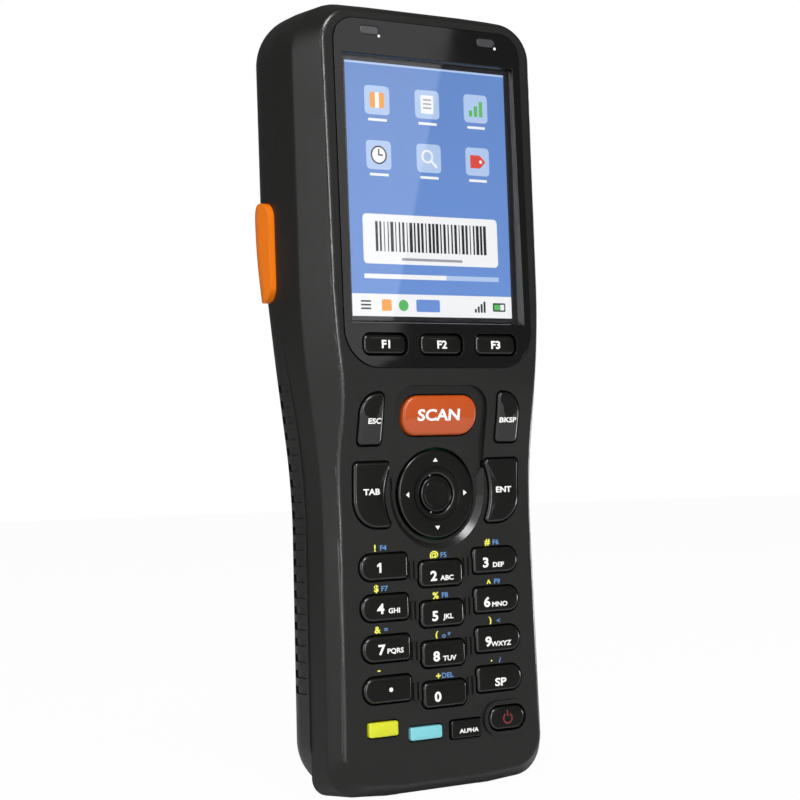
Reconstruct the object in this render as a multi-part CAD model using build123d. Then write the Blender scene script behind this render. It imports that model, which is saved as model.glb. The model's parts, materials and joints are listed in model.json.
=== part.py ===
from build123d import *
import math
import os

# Portable barcode data terminal, upright: +X to the viewer's right, +Y to the back, +Z to the
# scanner end. The origin is under the middle of the base. "Depth" is measured back from the
# front plane of the head. All sizes are millimetres.

# Housing, seen from the front
LENGTH = 152.6
HEAD_HALF_WIDTH = 28.3
WAIST_HALF_WIDTH = 24.8
BASE_HALF_WIDTH = 25.6
HEAD_LOW_Z = 90.0
WAIST_Z = 59.0
SIDE_BLEND_RADIUS = 150.0
TOP_FLAT_HALF_WIDTH = 12.0
TOP_CROWN = 0.3
TOP_CORNER_RADIUS = 10.5
FACE_TOP_RADIUS = 6.5
BASE_FLAT_HALF_WIDTH = 12.0
BASE_CROWN = 1.0
BASE_CORNER_RADIUS = 2.6
FACE_BASE_RADIUS = 6.5
REAR_BASE_CORNER_RADIUS = 10.0
END_BLEND_RADIUS = 40.0
BASE_TRIM = 0.05
SHOULDER_BASE_RADIUS = 6.5
LEAST_CORNER = 1.0

# Housing, seen from the side
HEAD_FRONT_Y = -11.9
HEAD_DEPTH = 24.4
GRIP_DEPTH = 21.7
REAR_STEP_TOP_Z = 112.0
REAR_STEP_LOW_Z = 84.0
FACE_TOP_DEPTH = 0.3
FACE_LIP = 0.55
FRONT_STEP = 2.7
STEP_ROUNDING = 0.98
FRONT_STEP_TOP_Z = 84.0
FRONT_STEP_LOW_Z = 56.0
HEAD_SEAM_DEPTH = 12.5
GRIP_SEAM_DEPTH = 10.8
SEAM_STEP_TOP_Z = 97.0
SEAM_STEP_LOW_Z = 66.0
REAR_RADIUS = 7.5
REAR_BASE_Z = 0.4
FACET_WIDTH = 4.0
FACET_DEPTH = 6.0
FACET_TOP = 2.1
FACET_BASE = 4.9
SIDE_DRAFT = 1.0
SHOULDER_RADIUS = 2.0
RIM_RADIUS = 1.2
WALL = 1.8

# Cuts and joins
IN_FRONT = -3.0
CUT_MARGIN = 1.0
DEEP_CUT = 5.5
PANEL_CUT = 3.5
WELD = 0.2
ROOT = 0.3
ROUND_END_EASE = 0.05

# Fits
SHELL_GAP = 0.15
KEY_GAP = 0.3
KEY_TRAVEL = 0.5
KEY_REST_GAP = 0.15
TRAVEL_MARGIN = 0.15

# Grip notches along the back edges
NOTCH_COUNT = 20
NOTCH_PITCH = 3.05
NOTCH_HEIGHT = 1.5
NOTCH_DEPTH = 0.45
NOTCH_LOW_Z = 20.7
NOTCH_SEAM_MARGIN = 0.8
NOTCH_REAR_MARGIN = 4.2

# Display
SCREEN_Z = 116.2
SCREEN_WIDTH = 36.72
SCREEN_HEIGHT = 48.96
WINDOW_MARGIN = 0.9
BEZEL_HALF_WIDTH = 21.4
BEZEL_TOP_Z = 148.6
BEZEL_LOW_Z = 81.8
BEZEL_TOP_RADIUS = 4.6
BEZEL_LOW_RADIUS = 7.5
BEZEL_PROUD = 0.25
BEZEL_SEAT_DEPTH = 0.75
WINDOW_CHAMFER = 0.6
WINDOW_CORNER = 0.6
PANEL_BORDER = 1.3
PANEL_THICKNESS = 1.1
LCD_WIDTH = 41.0
LCD_HEIGHT = 52.6
LCD_THICKNESS = 2.6
CHASSIS_THICKNESS = 0.5
CHASSIS_LIP = 0.4
CHASSIS_POST_RADIUS = 1.6
CHASSIS_GAP = 0.1
CHASSIS_FOOT_INSET = 3.0
LED_WIDTH = 4.2
LED_HEIGHT = 1.6
LED_HALF_SPACING = 13.4
LED_Z = 146.5
LED_LENGTH = 4.0
LED_GAP = 0.05

# Function keys in the bezel
F_KEY_WIDTH = 9.6
F_KEY_HEIGHT = 3.9
F_KEY_PITCH = 12.7
F_KEY_Z = 86.2
F_KEY_PROUD = 0.3
F_KEY_CORNER = 1.4

# Keyhole recess with the scan key and the navigation disc
RECESS_DEPTH = 0.9
RECESS_HALF_WIDTH = 10.8
RECESS_TOP_Z = 78.4
RECESS_CORNER = 4.5
SCAN_WIDTH = 17.0
SCAN_HEIGHT = 7.7
SCAN_Z = 72.6
SCAN_PROUD = 0.1
SCAN_CORNER = 3.4
NAV_Z = 57.4
NAV_RADIUS = 8.6
NAV_TOP_DEPTH = 2.9
NAV_THICKNESS = 1.5
NAV_GAP = 0.45
NAV_HUB_RADIUS = 3.5
NAV_HUB_GAP = 0.35
NAV_CENTER_RISE = 0.3
NAV_DOME_RADIUS = 1.6
NAV_PLUNGER_RADIUS = 6.5
NAV_PLUNGER_SLACK = 0.7
GIMBAL_DEPTH = 5.35
GIMBAL_THICKNESS = 0.9
GIMBAL_INNER_RADIUS = 2.4
GIMBAL_OUTER_RADIUS = 3.4
GIMBAL_PIN_RADIUS = 0.35
GIMBAL_PIN_GAP = 0.06
GIMBAL_HANGER_REACH = 9.3
GIMBAL_HANGER_LENGTH = 1.4
GIMBAL_LUG_REACH = 3.8
GIMBAL_LUG_LENGTH = 1.0
GIMBAL_LUG_WIDTH = 1.8
GIMBAL_HOLE_WALL = 0.2
GIMBAL_PIN_PLAY = 0.2

# Keys beside the recess
SIDE_KEY_INNER = 13.1
SIDE_KEY_OUTER = 18.3
UPPER_KEY_LOW_Z = 67.1
UPPER_KEY_TOP_Z = 77.0
UPPER_KEY_ROUND = 4.0
LOWER_KEY_INNER = 10.9
LOWER_KEY_OUTER = 18.9
LOWER_KEY_LOW_Z = 51.3
LOWER_KEY_TOP_Z = 63.9
LOWER_KEY_ROUND = 5.2
RECESS_WEB = 1.3
KEY_CORNER = 0.9

# Number keys
NUMBER_KEY_LENGTH = 10.6
CENTRE_KEY_LENGTH = 10.0
NUMBER_KEY_HEIGHT = 5.0
NUMBER_COLUMN_X = 12.8
NUMBER_ROW_PITCH = 7.75
NUMBER_TOP_ROW_Z = 43.9
CENTRE_COLUMN_DROP = 1.9
CENTRE_KEY_CORNER = 1.3
LINK_RIB_WIDTH = 0.6
LINK_RIB_PITCH = 1.05
LINK_RIB_HEIGHT = 3.4
LINK_RIB_PROUD = 0.45

# Bottom row of keys: centre x, centre z, width, height
YELLOW_KEY = (-14.1, 13.3, 6.4, 2.8)
BLUE_KEY = (-4.6, 11.7, 7.1, 2.5)
ALPHA_KEY = (4.6, 11.6, 7.0, 3.4)
POWER_KEY = (14.2, 12.8, 8.4, 4.6)
SMALL_KEY_CORNER = 0.45
POWER_KEY_CORNER = 2.2
POWER_RIM = 0.8
POWER_RIM_PROUD = 0.5

# Key construction
KEY_PROUD = 0.75
FLANGE_WIDTH = 0.45
FLANGE_THICKNESS = 0.7
PLUNGER_WIDTH = 1.6
SHEET_THICKNESS = 0.5
SHEET_HOLE_GAP = 0.3
SHEET_HALF_WIDTH = 19.6
SHEET_NAV_GAP = 0.6
SHEET_TOP_Z = 88.7
BOARD_THICKNESS = 0.8
BOARD_HALF_WIDTH = 19.2
DOME_RADIUS = 2.0
DOME_HEIGHT = 0.4
DOME_SLACK = 0.05
BOARD_LOW_Z = 9.6
BOARD_POST_RADIUS = 0.7
BOARD_POSTS = [(-7.6, 15.6), (7.6, 15.6), (-17.6, 48.9), (17.6, 48.9), (-18.4, 80.6), (18.4, 80.6)]

# Boards and parts inside the head
MAIN_BOARD_DEPTH = 9.0
MAIN_BOARD_HALF_WIDTH = 20.6
MAIN_BOARD_TOP_Z = 147.0
MAIN_BOARD_LOW_Z = 90.0
SHIELD_WIDTH = 26.0
SHIELD_HEIGHT = 20.0
SHIELD_THICKNESS = 2.0
SHIELD_Z = 112.0
CARD_SOCKET_WIDTH = 14.0
CARD_SOCKET_HEIGHT = 11.0
CARD_SOCKET_THICKNESS = 1.6
CARD_SOCKET_X = -11.0
CARD_SOCKET_Z = 96.0
ENGINE_WIDTH = 20.6
ENGINE_HEIGHT = 12.0
ENGINE_DEPTH = 8.2
ENGINE_NOSE_RADIUS = 3.2
ENGINE_NOSE_LENGTH = 1.2
ANTENNA_LENGTH = 34.0
ANTENNA_THICKNESS = 1.0
ANTENNA_HEIGHT = 4.0
ANTENNA_Z = 127.0
SPEAKER_RADIUS = 7.5
SPEAKER_THICKNESS = 3.4
SPEAKER_Z = 124.0
SPEAKER_DOME_RADIUS = 3.0
SPEAKER_DOME_DEPTH = 0.8
MOTOR_RADIUS = 2.0
MOTOR_LENGTH = 11.0
MOTOR_X = 12.0
MOTOR_Z = 94.5
SLOT_COUNT = 5
SLOT_PITCH = 2.2
SLOT_HEIGHT = 1.0
SLOT_LENGTH = 12.0

# Scan window in the top
SCAN_FRAME_HALF_WIDTH = 13.4
SCAN_FRAME_FRONT_DEPTH = 13.3
SCAN_FRAME_REAR_DEPTH = 22.2
SCAN_FRAME_BORDER = 1.7
SCAN_FRAME_LOW_Z = 147.3
SCAN_GLASS_Z = 148.3
SCAN_GLASS_THICKNESS = 1.2
SCAN_GLASS_LAP = 0.6

# Side buttons
BUTTON_LENGTH = 19.4
BUTTON_WIDTH = 6.6
BUTTON_Z = 105.0
BUTTON_DEPTH = 16.6
BUTTON_PROUD = 1.3
BUTTON_TRAVEL = 0.7
BUTTON_FLANGE = 0.7
BUTTON_FLANGE_THICKNESS = 0.9
BUTTON_STEM_RADIUS = 1.1
BUTTON_STEM_SHIFT = 1.0
SWITCH_OUTER_X = 23.4
BRACKET_THICKNESS = 2.2
SIDE_SWITCH_LENGTH = 6.0
SIDE_SWITCH_WIDTH = 3.6
SIDE_SWITCH_THICKNESS = 2.2
SIDE_SWITCH_TIP_RADIUS = 0.8
SIDE_SWITCH_TIP = 0.4

# Battery and its latch
BATTERY_HALF_WIDTH = 17.2
BATTERY_LOW_Z = 19.0
BATTERY_TOP_Z = 79.0
BATTERY_DEPTH = 10.0
BATTERY_CORNER = 2.5
BAY_FLOOR = 1.0
BAY_WALL = 1.2
HOOK_X = 10.0
HOOK_WIDTH = 4.0
HOOK_REACH = 0.9
HOOK_DEPTH = 14.0
HOOK_THICKNESS = 1.5
BATTERY_PULL_WIDTH = 16.0
BATTERY_PULL_HEIGHT = 1.2
BATTERY_PULL_COUNT = 4
BATTERY_PULL_PITCH = 2.4
BATTERY_PULL_DEPTH = 0.5
BATTERY_PULL_TOP = 4.0
LATCH_HALF_WIDTH = 5.0
LATCH_HEIGHT = 6.0
LATCH_LOW_Z = 81.3
LATCH_TRAVEL = 2.6
LATCH_DEPTH = 21.8
LATCH_THICKNESS = 1.8
LATCH_SINK = 0.25
LATCH_RIB_SINK = 0.05
LATCH_FLOOR_GAP = 0.1
LATCH_SEAT_THICKNESS = 1.2
LATCH_TONGUE_WIDTH = 6.0
LATCH_TONGUE_HEIGHT = 1.6
LATCH_TONGUE_REACH = 3.1
LATCH_RIB_COUNT = 3
LATCH_RIB_PITCH = 1.5
LATCH_RIB = 0.5
LATCH_RIB_INSET = 1.0
CONTACT_COUNT = 4
CONTACT_PITCH = 3.0
CONTACT_WIDTH = 1.4
CONTACT_EDGE = 0.5
CONTACT_BLOCK_HEIGHT = 3.0
CONTACT_Z = 72.0

# Bottom end
DOCK_HALF_WIDTH = 9.5
DOCK_FRONT_DEPTH = 5.8
DOCK_REAR_DEPTH = 8.6
DOCK_RECESS = 1.2
DOCK_HEIGHT = 3.6
DOCK_PIN_COUNT = 10
DOCK_PIN_PITCH = 1.7
DOCK_PIN_WIDTH = 0.8
STRAP_BAR_RADIUS = 0.9
STRAP_BAR_DEPTH = 18.2
STRAP_BAR_Z = 11.4
STRAP_POCKET_HALF_WIDTH = 8.0
STRAP_POCKET_HEIGHT = 6.4
STRAP_POCKET_DEPTH = 13.9
STRAP_BAR_SEAT = 2.0

# Service port under its cover, on the right side
PORT_Z = 30.0
PORT_DEPTH = 7.5
PORT_LENGTH = 7.0
PORT_WIDTH = 2.2
PORT_HOUSING_WALL = 0.5
PORT_HOUSING_DEPTH = 2.5
PORT_WALL = 1.0
PORT_TONGUE = 0.6
PORT_TONGUE_ROOM = 0.5
COVER_LENGTH = 12.0
COVER_WIDTH = 3.2
COVER_INNER_X = 23.4
COVER_GAP = 0.12
COVER_SWING_ROOM = 0.6
HINGE_RADIUS = 0.5
HINGE_PIN_RADIUS = 0.25
HINGE_PIN_LENGTH = 0.4
HINGE_GAP = 0.06
HINGE_SWEEP_GAP = 0.25

# Screws
SCREW_HEAD_RADIUS = 1.8
SCREW_HEAD_HEIGHT = 1.2
SCREW_SHANK_RADIUS = 0.8
SCREW_SHANK_LENGTH = 12.3
SCREW_SOCKET_RADIUS = 0.8
SCREW_SOCKET_DEPTH = 0.7
SCREW_SINK = 1.4
BASE_SCREW_SINK = 3.2
BOSS_RADIUS = 2.1
BOSS_HOLE_GAP = 0.05
HEAD_SCREW_X = 23.2
HEAD_SCREW_UPPER_Z = 138.0
HEAD_SCREW_LOWER_Z = 118.5
BASE_SCREW_X = 18.4
BASE_SCREW_Z = 7.2

# Gasket between the shells
GASKET_INSET = 0.7
GASKET_WIDTH = 0.6
GASKET_HEIGHT = 0.8

# Surfaces that step between head and grip, as (depth, z) at the top, at both ends of the step
# and at the base
FRONT = (
    (FACE_TOP_DEPTH, LENGTH),
    (-FACE_LIP, FRONT_STEP_TOP_Z),
    (FRONT_STEP, FRONT_STEP_LOW_Z),
    (FRONT_STEP, 0.0),
)
SEAM = (
    (HEAD_SEAM_DEPTH, LENGTH),
    (HEAD_SEAM_DEPTH, SEAM_STEP_TOP_Z),
    (GRIP_SEAM_DEPTH, SEAM_STEP_LOW_Z),
    (GRIP_SEAM_DEPTH, 0.0),
)
REAR = (
    (HEAD_DEPTH, LENGTH),
    (HEAD_DEPTH, REAR_STEP_TOP_Z),
    (GRIP_DEPTH, REAR_STEP_LOW_Z),
    (GRIP_DEPTH, 0.0),
)

# Places worked out from the sizes above
SPAN = 2 * HEAD_HALF_WIDTH + LENGTH
SHEET_OFFSET = WALL + KEY_REST_GAP + FLANGE_THICKNESS + KEY_TRAVEL + TRAVEL_MARGIN
BOARD_DEPTH = FRONT_STEP + SHEET_OFFSET + SHEET_THICKNESS + DOME_HEIGHT
PLUNGER_DEPTH = BOARD_DEPTH - DOME_HEIGHT - KEY_TRAVEL - DOME_SLACK
NAV_PLUNGER_DEPTH = BOARD_DEPTH - DOME_HEIGHT - NAV_PLUNGER_SLACK
PANEL_DEPTH = BEZEL_SEAT_DEPTH
LCD_DEPTH = PANEL_DEPTH + PANEL_THICKNESS
CHASSIS_DEPTH = LCD_DEPTH + LCD_THICKNESS
ENGINE_TOP_Z = SCAN_FRAME_LOW_Z - ENGINE_NOSE_LENGTH - SHELL_GAP


def place_y(depth):
    """The Y of a point at this depth behind the head's front plane."""
    return HEAD_FRONT_Y + depth


def front_plane(depth):
    return Plane.XZ.offset(-place_y(depth))


def slab(sketch, near, far):
    """A front-view sketch made solid from one depth to a greater one."""
    return extrude(front_plane(far) * sketch, far - near)


def post(x, z, radius, near, far):
    return slab(Pos(x, z) * Circle(radius), near, far)


def square_post(x, z, width, near, far):
    return slab(Pos(x, z) * Rectangle(width, width), near, far)


def block(x_low, x_high, near, far, z_low, z_high):
    size = (x_high - x_low, far - near, z_high - z_low)
    centre = ((x_low + x_high) / 2, place_y((near + far) / 2), (z_low + z_high) / 2)
    return Pos(*centre) * Box(*size)


def rounded_face(corners):
    """A closed outline through (x, y, radius) corners, each rounded with its own radius."""
    arcs = []
    for index, (x, y, radius) in enumerate(corners):
        corner = Vector(x, y)
        after = corners[(index + 1) % len(corners)]
        back = (Vector(*corners[index - 1][:2]) - corner).normalized()
        ahead = (Vector(*after[:2]) - corner).normalized()
        half_angle = math.radians(back.get_angle(ahead)) / 2
        reach = radius / math.tan(half_angle)
        middle = corner + (back + ahead).normalized() * (radius / math.sin(half_angle) - radius)
        arcs.append((corner + back * reach, middle, corner + ahead * reach))
    edges = []
    for index, (start, middle, end) in enumerate(arcs):
        edges.append(ThreePointArc(start, middle, end))
        edges.append(Line(end, arcs[(index + 1) % len(arcs)][0]))
    return make_face(edges)


def outline(side_in, top_in, base_in, top_radius, base_radius):
    """The housing seen from the front, drawn in by the given amounts."""
    head = HEAD_HALF_WIDTH - side_in
    waist = WAIST_HALF_WIDTH - side_in
    base = BASE_HALF_WIDTH - side_in
    top = LENGTH - top_in
    right = [
        (BASE_FLAT_HALF_WIDTH - side_in, base_in, END_BLEND_RADIUS),
        (base, base_in + BASE_CROWN, base_radius),
        (waist, WAIST_Z, SIDE_BLEND_RADIUS),
        (head, HEAD_LOW_Z, SIDE_BLEND_RADIUS),
        (head, top - TOP_CROWN, top_radius),
        (TOP_FLAT_HALF_WIDTH - side_in, top, END_BLEND_RADIUS),
    ]
    left = [(-x, z, radius) for x, z, radius in reversed(right)]
    return rounded_face(right + left)


def ahead_of(surface, offset=0.0):
    """Everything in front of a stepped surface that is moved back by the offset."""
    top, high, low, base = [Vector(place_y(depth + offset), z) for depth, z in surface]
    quarter = (high - low).length / 4
    upper = high + (high - top).normalized() * quarter
    lower = low + (low - base).normalized() * quarter
    half_turn = math.radians((upper - top).get_angle(lower - upper)) / 2
    radius = STEP_ROUNDING * quarter / math.tan(half_turn)
    above = top + (top - high).normalized() * SPAN
    below = base + (base - low).normalized() * SPAN
    corners = [
        (above.X, above.Y, 1),
        (upper.X, upper.Y, radius),
        (lower.X, lower.Y, radius),
        (below.X, below.Y, 1),
        (-SPAN, below.Y, 1),
        (-SPAN, above.Y, 1),
    ]
    return extrude(Plane.YZ * rounded_face(corners), SPAN, both=True)


def between(near_surface, near_offset, far_surface, far_offset):
    return ahead_of(far_surface, far_offset) - ahead_of(near_surface, near_offset)


def above(z):
    return Pos(0, 0, z + SPAN / 2) * Box(2 * SPAN, 2 * SPAN, SPAN)


def outside_edges(faces):
    """The edges that only one of these faces has."""
    edges = faces.edges()
    shared = [sum(edge.is_same(other) for other in edges) > 1 for edge in edges]
    return [edge for edge, inside in zip(edges, shared) if not inside]


def front_form(inset, base_inset):
    """The front half of the housing: raised face, sloping facet and drafted sides."""
    face_in = inset + SIDE_DRAFT + FACET_WIDTH
    base_in = base_inset - BASE_TRIM
    top_radius = TOP_CORNER_RADIUS - inset
    base_radius = max(BASE_CORNER_RADIUS - inset, LEAST_CORNER)
    shoulder_radius = max(SHOULDER_BASE_RADIUS - inset, LEAST_CORNER)
    face = outline(
        face_in,
        inset + FACET_TOP,
        base_in + FACET_BASE,
        FACE_TOP_RADIUS - inset,
        FACE_BASE_RADIUS - inset,
    )
    shoulder = outline(inset + SIDE_DRAFT, inset, base_in, top_radius, shoulder_radius)
    side = outline(inset, inset, base_in, top_radius, base_radius)
    sections = [
        front_plane(-FACE_LIP) * face,
        front_plane(FACET_DEPTH) * shoulder,
        front_plane(HEAD_SEAM_DEPTH) * side,
    ]
    return loft(sections, ruled=True) & between(FRONT, inset, SEAM, 0) & above(base_inset)


def front_outside():
    """The front half's outer form, with its shoulder and the rim of its face rounded."""
    form = front_form(0, 0)
    shoulder = [edge for edge in form.edges() if on_shoulder(edge)]
    form = fillet(shoulder, SHOULDER_RADIUS)
    front_faces = form.faces().filter_by(lambda face: face.normal_at().Y < -0.8)
    return fillet(outside_edges(front_faces), RIM_RADIUS)


def on_shoulder(edge):
    """Whether an edge lies where the facet meets the side, whose base is trimmed."""
    offsets = [(edge @ share).Y - place_y(FACET_DEPTH) for share in (0, 0.5, 1)]
    return all(abs(offset) < 2 * BASE_TRIM for offset in offsets)


def rear_outline(inset):
    top_radius = TOP_CORNER_RADIUS - inset
    return outline(inset, inset, REAR_BASE_Z + inset, top_radius, REAR_BASE_CORNER_RADIUS - inset)


def rear_form(inset):
    """The rear half of the housing, with its back edges rounded all round."""
    body = slab(rear_outline(inset), GRIP_SEAM_DEPTH - WALL, HEAD_DEPTH) & ahead_of(REAR, -inset)
    back_faces = body.faces().filter_by(lambda face: face.normal_at().Y > 0.8)
    rim = outside_edges(back_faces)
    return fillet(rim, REAR_RADIUS - inset) - ahead_of(SEAM)


def ring(x, z, outer_radius, inner_radius, near, far):
    return post(x, z, outer_radius, near, far) - post(x, z, inner_radius, near - 1, far + 1)


def side_pin(x_low, x_high, depth, z, radius):
    """A pin that lies along X."""
    length = x_high - x_low
    centre = Pos((x_low + x_high) / 2, place_y(depth), z)
    return centre * Rot(0, 90, 0) * Cylinder(radius, length)


def upright_pin(x, depth, z_low, z_high, radius):
    return Pos(x, place_y(depth), (z_low + z_high) / 2) * Cylinder(radius, z_high - z_low)


def grown(sketch, amount):
    return offset(sketch, amount, kind=Kind.ARC)


def mirrored(sketch):
    return mirror(sketch, about=Plane.YZ)


def front_layer(sketch, near, far):
    """A front-view sketch between two depths measured from the housing's front surface."""
    deep = FRONT_STEP + far + 1
    return slab(sketch, -FACE_LIP - 3, deep) & between(FRONT, near, FRONT, far)


# Key outlines in the front view


def bar_outline(x, z, width, height, corner):
    return Pos(x, z) * RectangleRounded(width, height, corner)


def corner_outline(inner, outer, low, top, low_radius, top_radius):
    """A key to the right of the recess, with its own radius at each outer corner."""
    return rounded_face(
        [
            (inner, low, KEY_CORNER),
            (outer, low, low_radius),
            (outer, top, top_radius),
            (inner, top, KEY_CORNER),
        ]
    )


def upper_key_outline():
    low, top = UPPER_KEY_LOW_Z, UPPER_KEY_TOP_Z
    return corner_outline(SIDE_KEY_INNER, SIDE_KEY_OUTER, low, top, KEY_CORNER, UPPER_KEY_ROUND)


def lower_key_outline():
    low, top = LOWER_KEY_LOW_Z, LOWER_KEY_TOP_Z
    key = corner_outline(LOWER_KEY_INNER, LOWER_KEY_OUTER, low, top, LOWER_KEY_ROUND, KEY_CORNER)
    return key - Pos(0, NAV_Z) * Circle(RECESS_HALF_WIDTH + RECESS_WEB)


def number_row_z(row):
    return NUMBER_TOP_ROW_Z - row * NUMBER_ROW_PITCH


def side_number_outline(row):
    """A number key of the right column: round outside, square towards the middle."""
    z = number_row_z(row)
    inner = NUMBER_COLUMN_X - NUMBER_KEY_LENGTH / 2
    outer = NUMBER_COLUMN_X + NUMBER_KEY_LENGTH / 2
    low, top = z - NUMBER_KEY_HEIGHT / 2, z + NUMBER_KEY_HEIGHT / 2
    round_end = NUMBER_KEY_HEIGHT * 0.48
    return corner_outline(inner, outer, low, top, round_end, round_end)


def centre_number_outline(row):
    z = number_row_z(row) - CENTRE_COLUMN_DROP
    return bar_outline(0, z, CENTRE_KEY_LENGTH, NUMBER_KEY_HEIGHT, CENTRE_KEY_CORNER)


def function_key_outlines():
    names = ["key_f1", "key_f2", "key_f3"]
    return {
        name: bar_outline((index - 1) * F_KEY_PITCH, F_KEY_Z, F_KEY_WIDTH, F_KEY_HEIGHT, F_KEY_CORNER)
        for index, name in enumerate(names)
    }


def grip_key_outlines():
    """Every key of the keypad but the function keys, the scan key and the disc."""
    outlines = {
        "key_esc": mirrored(upper_key_outline()),
        "key_bksp": upper_key_outline(),
        "key_tab": mirrored(lower_key_outline()),
        "key_ent": lower_key_outline(),
    }
    rows = [("1", "2", "3"), ("4", "5", "6"), ("7", "8", "9"), ("dot", "0", "space")]
    for row, (left, middle, right) in enumerate(rows):
        outlines[f"key_{left}"] = mirrored(side_number_outline(row))
        outlines[f"key_{middle}"] = centre_number_outline(row)
        outlines[f"key_{right}"] = side_number_outline(row)
    outlines["key_yellow"] = bar_outline(*YELLOW_KEY, SMALL_KEY_CORNER)
    outlines["key_blue"] = bar_outline(*BLUE_KEY, SMALL_KEY_CORNER)
    outlines["key_alpha"] = bar_outline(*ALPHA_KEY, SMALL_KEY_CORNER)
    outlines["key_power"] = bar_outline(*POWER_KEY, POWER_KEY_CORNER)
    return outlines


def scan_outline():
    return bar_outline(0, SCAN_Z, SCAN_WIDTH, SCAN_HEIGHT, SCAN_CORNER)


def recess_outline():
    top = RECESS_TOP_Z
    half = RECESS_HALF_WIDTH
    shaft = rounded_face(
        [
            (-half, NAV_Z - CUT_MARGIN, ROOT),
            (half, NAV_Z - CUT_MARGIN, ROOT),
            (half, top, RECESS_CORNER),
            (-half, top, RECESS_CORNER),
        ]
    )
    return shaft + Pos(0, NAV_Z) * Circle(half)


def middle_of(outline_sketch):
    """Where a key's plunger and dome sit, in the front view."""
    centre = outline_sketch.bounding_box().center()
    return centre.X, centre.Y


def flange_outline(outline_sketch):
    """A plain rectangle round a key's cap, clear of the navigation disc's bearings."""
    size = outline_sketch.bounding_box().size
    border = 2 * (KEY_GAP + FLANGE_WIDTH)
    rectangle = Pos(*middle_of(outline_sketch)) * Rectangle(size.X + border, size.Y + border)
    bearing_reach = GIMBAL_HANGER_REACH + GIMBAL_HANGER_LENGTH + KEY_GAP
    return rectangle - Pos(0, NAV_Z) * Circle(bearing_reach)


def key(outline_sketch, proud):
    """Cap, retaining flange and plunger of one key."""
    x, z = middle_of(outline_sketch)
    flange_near = WALL + KEY_REST_GAP
    flange_far = flange_near + FLANGE_THICKNESS
    cap = front_layer(outline_sketch, -proud, flange_far)
    flange = front_layer(flange_outline(outline_sketch), flange_near, flange_far)
    plunger = square_post(x, z, PLUNGER_WIDTH, -FACE_LIP, PLUNGER_DEPTH) - ahead_of(FRONT, WALL)
    return cap + flange + plunger


def all_key_outlines():
    return {**function_key_outlines(), "key_scan": scan_outline(), **grip_key_outlines()}


def key_proud(name):
    if name == "key_scan":
        return SCAN_PROUD
    return F_KEY_PROUD if name.startswith("key_f") else KEY_PROUD


# Navigation disc on its two crossed pivots


def gimbal_hanger(side):
    """The bearing block under the front wall that holds one end of the cross axle."""
    x_low = min(side * GIMBAL_HANGER_REACH, side * (GIMBAL_HANGER_REACH + GIMBAL_HANGER_LENGTH))
    half = GIMBAL_LUG_WIDTH / 2
    low, high = NAV_Z - half, NAV_Z + half
    hanger = block(x_low, x_low + GIMBAL_HANGER_LENGTH, 0, GIMBAL_DEPTH + half, low, high)
    return hanger - ahead_of(FRONT, RECESS_DEPTH + ROOT)


def gimbal_pin_holes(radius):
    reach = GIMBAL_HANGER_REACH + GIMBAL_HANGER_LENGTH - GIMBAL_HOLE_WALL
    return side_pin(-reach, reach, GIMBAL_DEPTH, NAV_Z, radius)


def nav_pivot():
    near = GIMBAL_DEPTH - GIMBAL_THICKNESS / 2
    far = GIMBAL_DEPTH + GIMBAL_THICKNESS / 2
    hoop = ring(0, NAV_Z, GIMBAL_OUTER_RADIUS, GIMBAL_INNER_RADIUS, near, far)
    middle = (GIMBAL_INNER_RADIUS + GIMBAL_OUTER_RADIUS) / 2
    pins = []
    for side in (-1, 1):
        reach = GIMBAL_HANGER_REACH + GIMBAL_HANGER_LENGTH - GIMBAL_HOLE_WALL - GIMBAL_PIN_PLAY
        x_low, x_high = sorted((side * middle, side * reach))
        pins.append(side_pin(x_low, x_high, GIMBAL_DEPTH, NAV_Z, GIMBAL_PIN_RADIUS))
        lug_end = GIMBAL_LUG_REACH + GIMBAL_LUG_LENGTH - GIMBAL_PIN_PLAY
        z_low, z_high = sorted((NAV_Z + side * middle, NAV_Z + side * lug_end))
        pins.append(upright_pin(0, GIMBAL_DEPTH, z_low, z_high, GIMBAL_PIN_RADIUS))
    return hoop + pins


def nav_disc():
    bottom = NAV_TOP_DEPTH + NAV_THICKNESS
    disc = post(0, NAV_Z, NAV_RADIUS, NAV_TOP_DEPTH, bottom)
    lugs = []
    plungers = []
    half = GIMBAL_LUG_WIDTH / 2
    for side in (-1, 1):
        z_near = NAV_Z + side * GIMBAL_LUG_REACH
        z_far = NAV_Z + side * (GIMBAL_LUG_REACH + GIMBAL_LUG_LENGTH)
        z_low, z_high = sorted((z_near, z_far))
        lugs.append(block(-half, half, bottom - WELD, GIMBAL_DEPTH + half, z_low, z_high))
    for angle in (45, 135, 225, 315):
        x = NAV_PLUNGER_RADIUS * math.cos(math.radians(angle))
        z = NAV_Z + NAV_PLUNGER_RADIUS * math.sin(math.radians(angle))
        plungers.append(square_post(x, z, PLUNGER_WIDTH, bottom - WELD, NAV_PLUNGER_DEPTH))
    holes = upright_pin(0, GIMBAL_DEPTH, NAV_Z - 6, NAV_Z + 6, GIMBAL_PIN_RADIUS + GIMBAL_PIN_GAP)
    hub_hole = post(0, NAV_Z, NAV_HUB_RADIUS + NAV_HUB_GAP, 0, bottom)
    cut_holes = Part() + [lug - holes for lug in lugs]
    return (disc - hub_hole) + [cut_holes] + plungers


def nav_center():
    bottom = NAV_TOP_DEPTH + NAV_THICKNESS - NAV_CENTER_RISE
    cap = post(0, NAV_Z, NAV_HUB_RADIUS, NAV_TOP_DEPTH, bottom)
    return cap + square_post(0, NAV_Z, PLUNGER_WIDTH, bottom - WELD, PLUNGER_DEPTH)


# Front half


def board_posts(far):
    posts = []
    for x, z in BOARD_POSTS:
        posts.append(post(x, z, BOARD_POST_RADIUS, 0, far) - ahead_of(FRONT, WALL - ROOT))
    return posts


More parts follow.
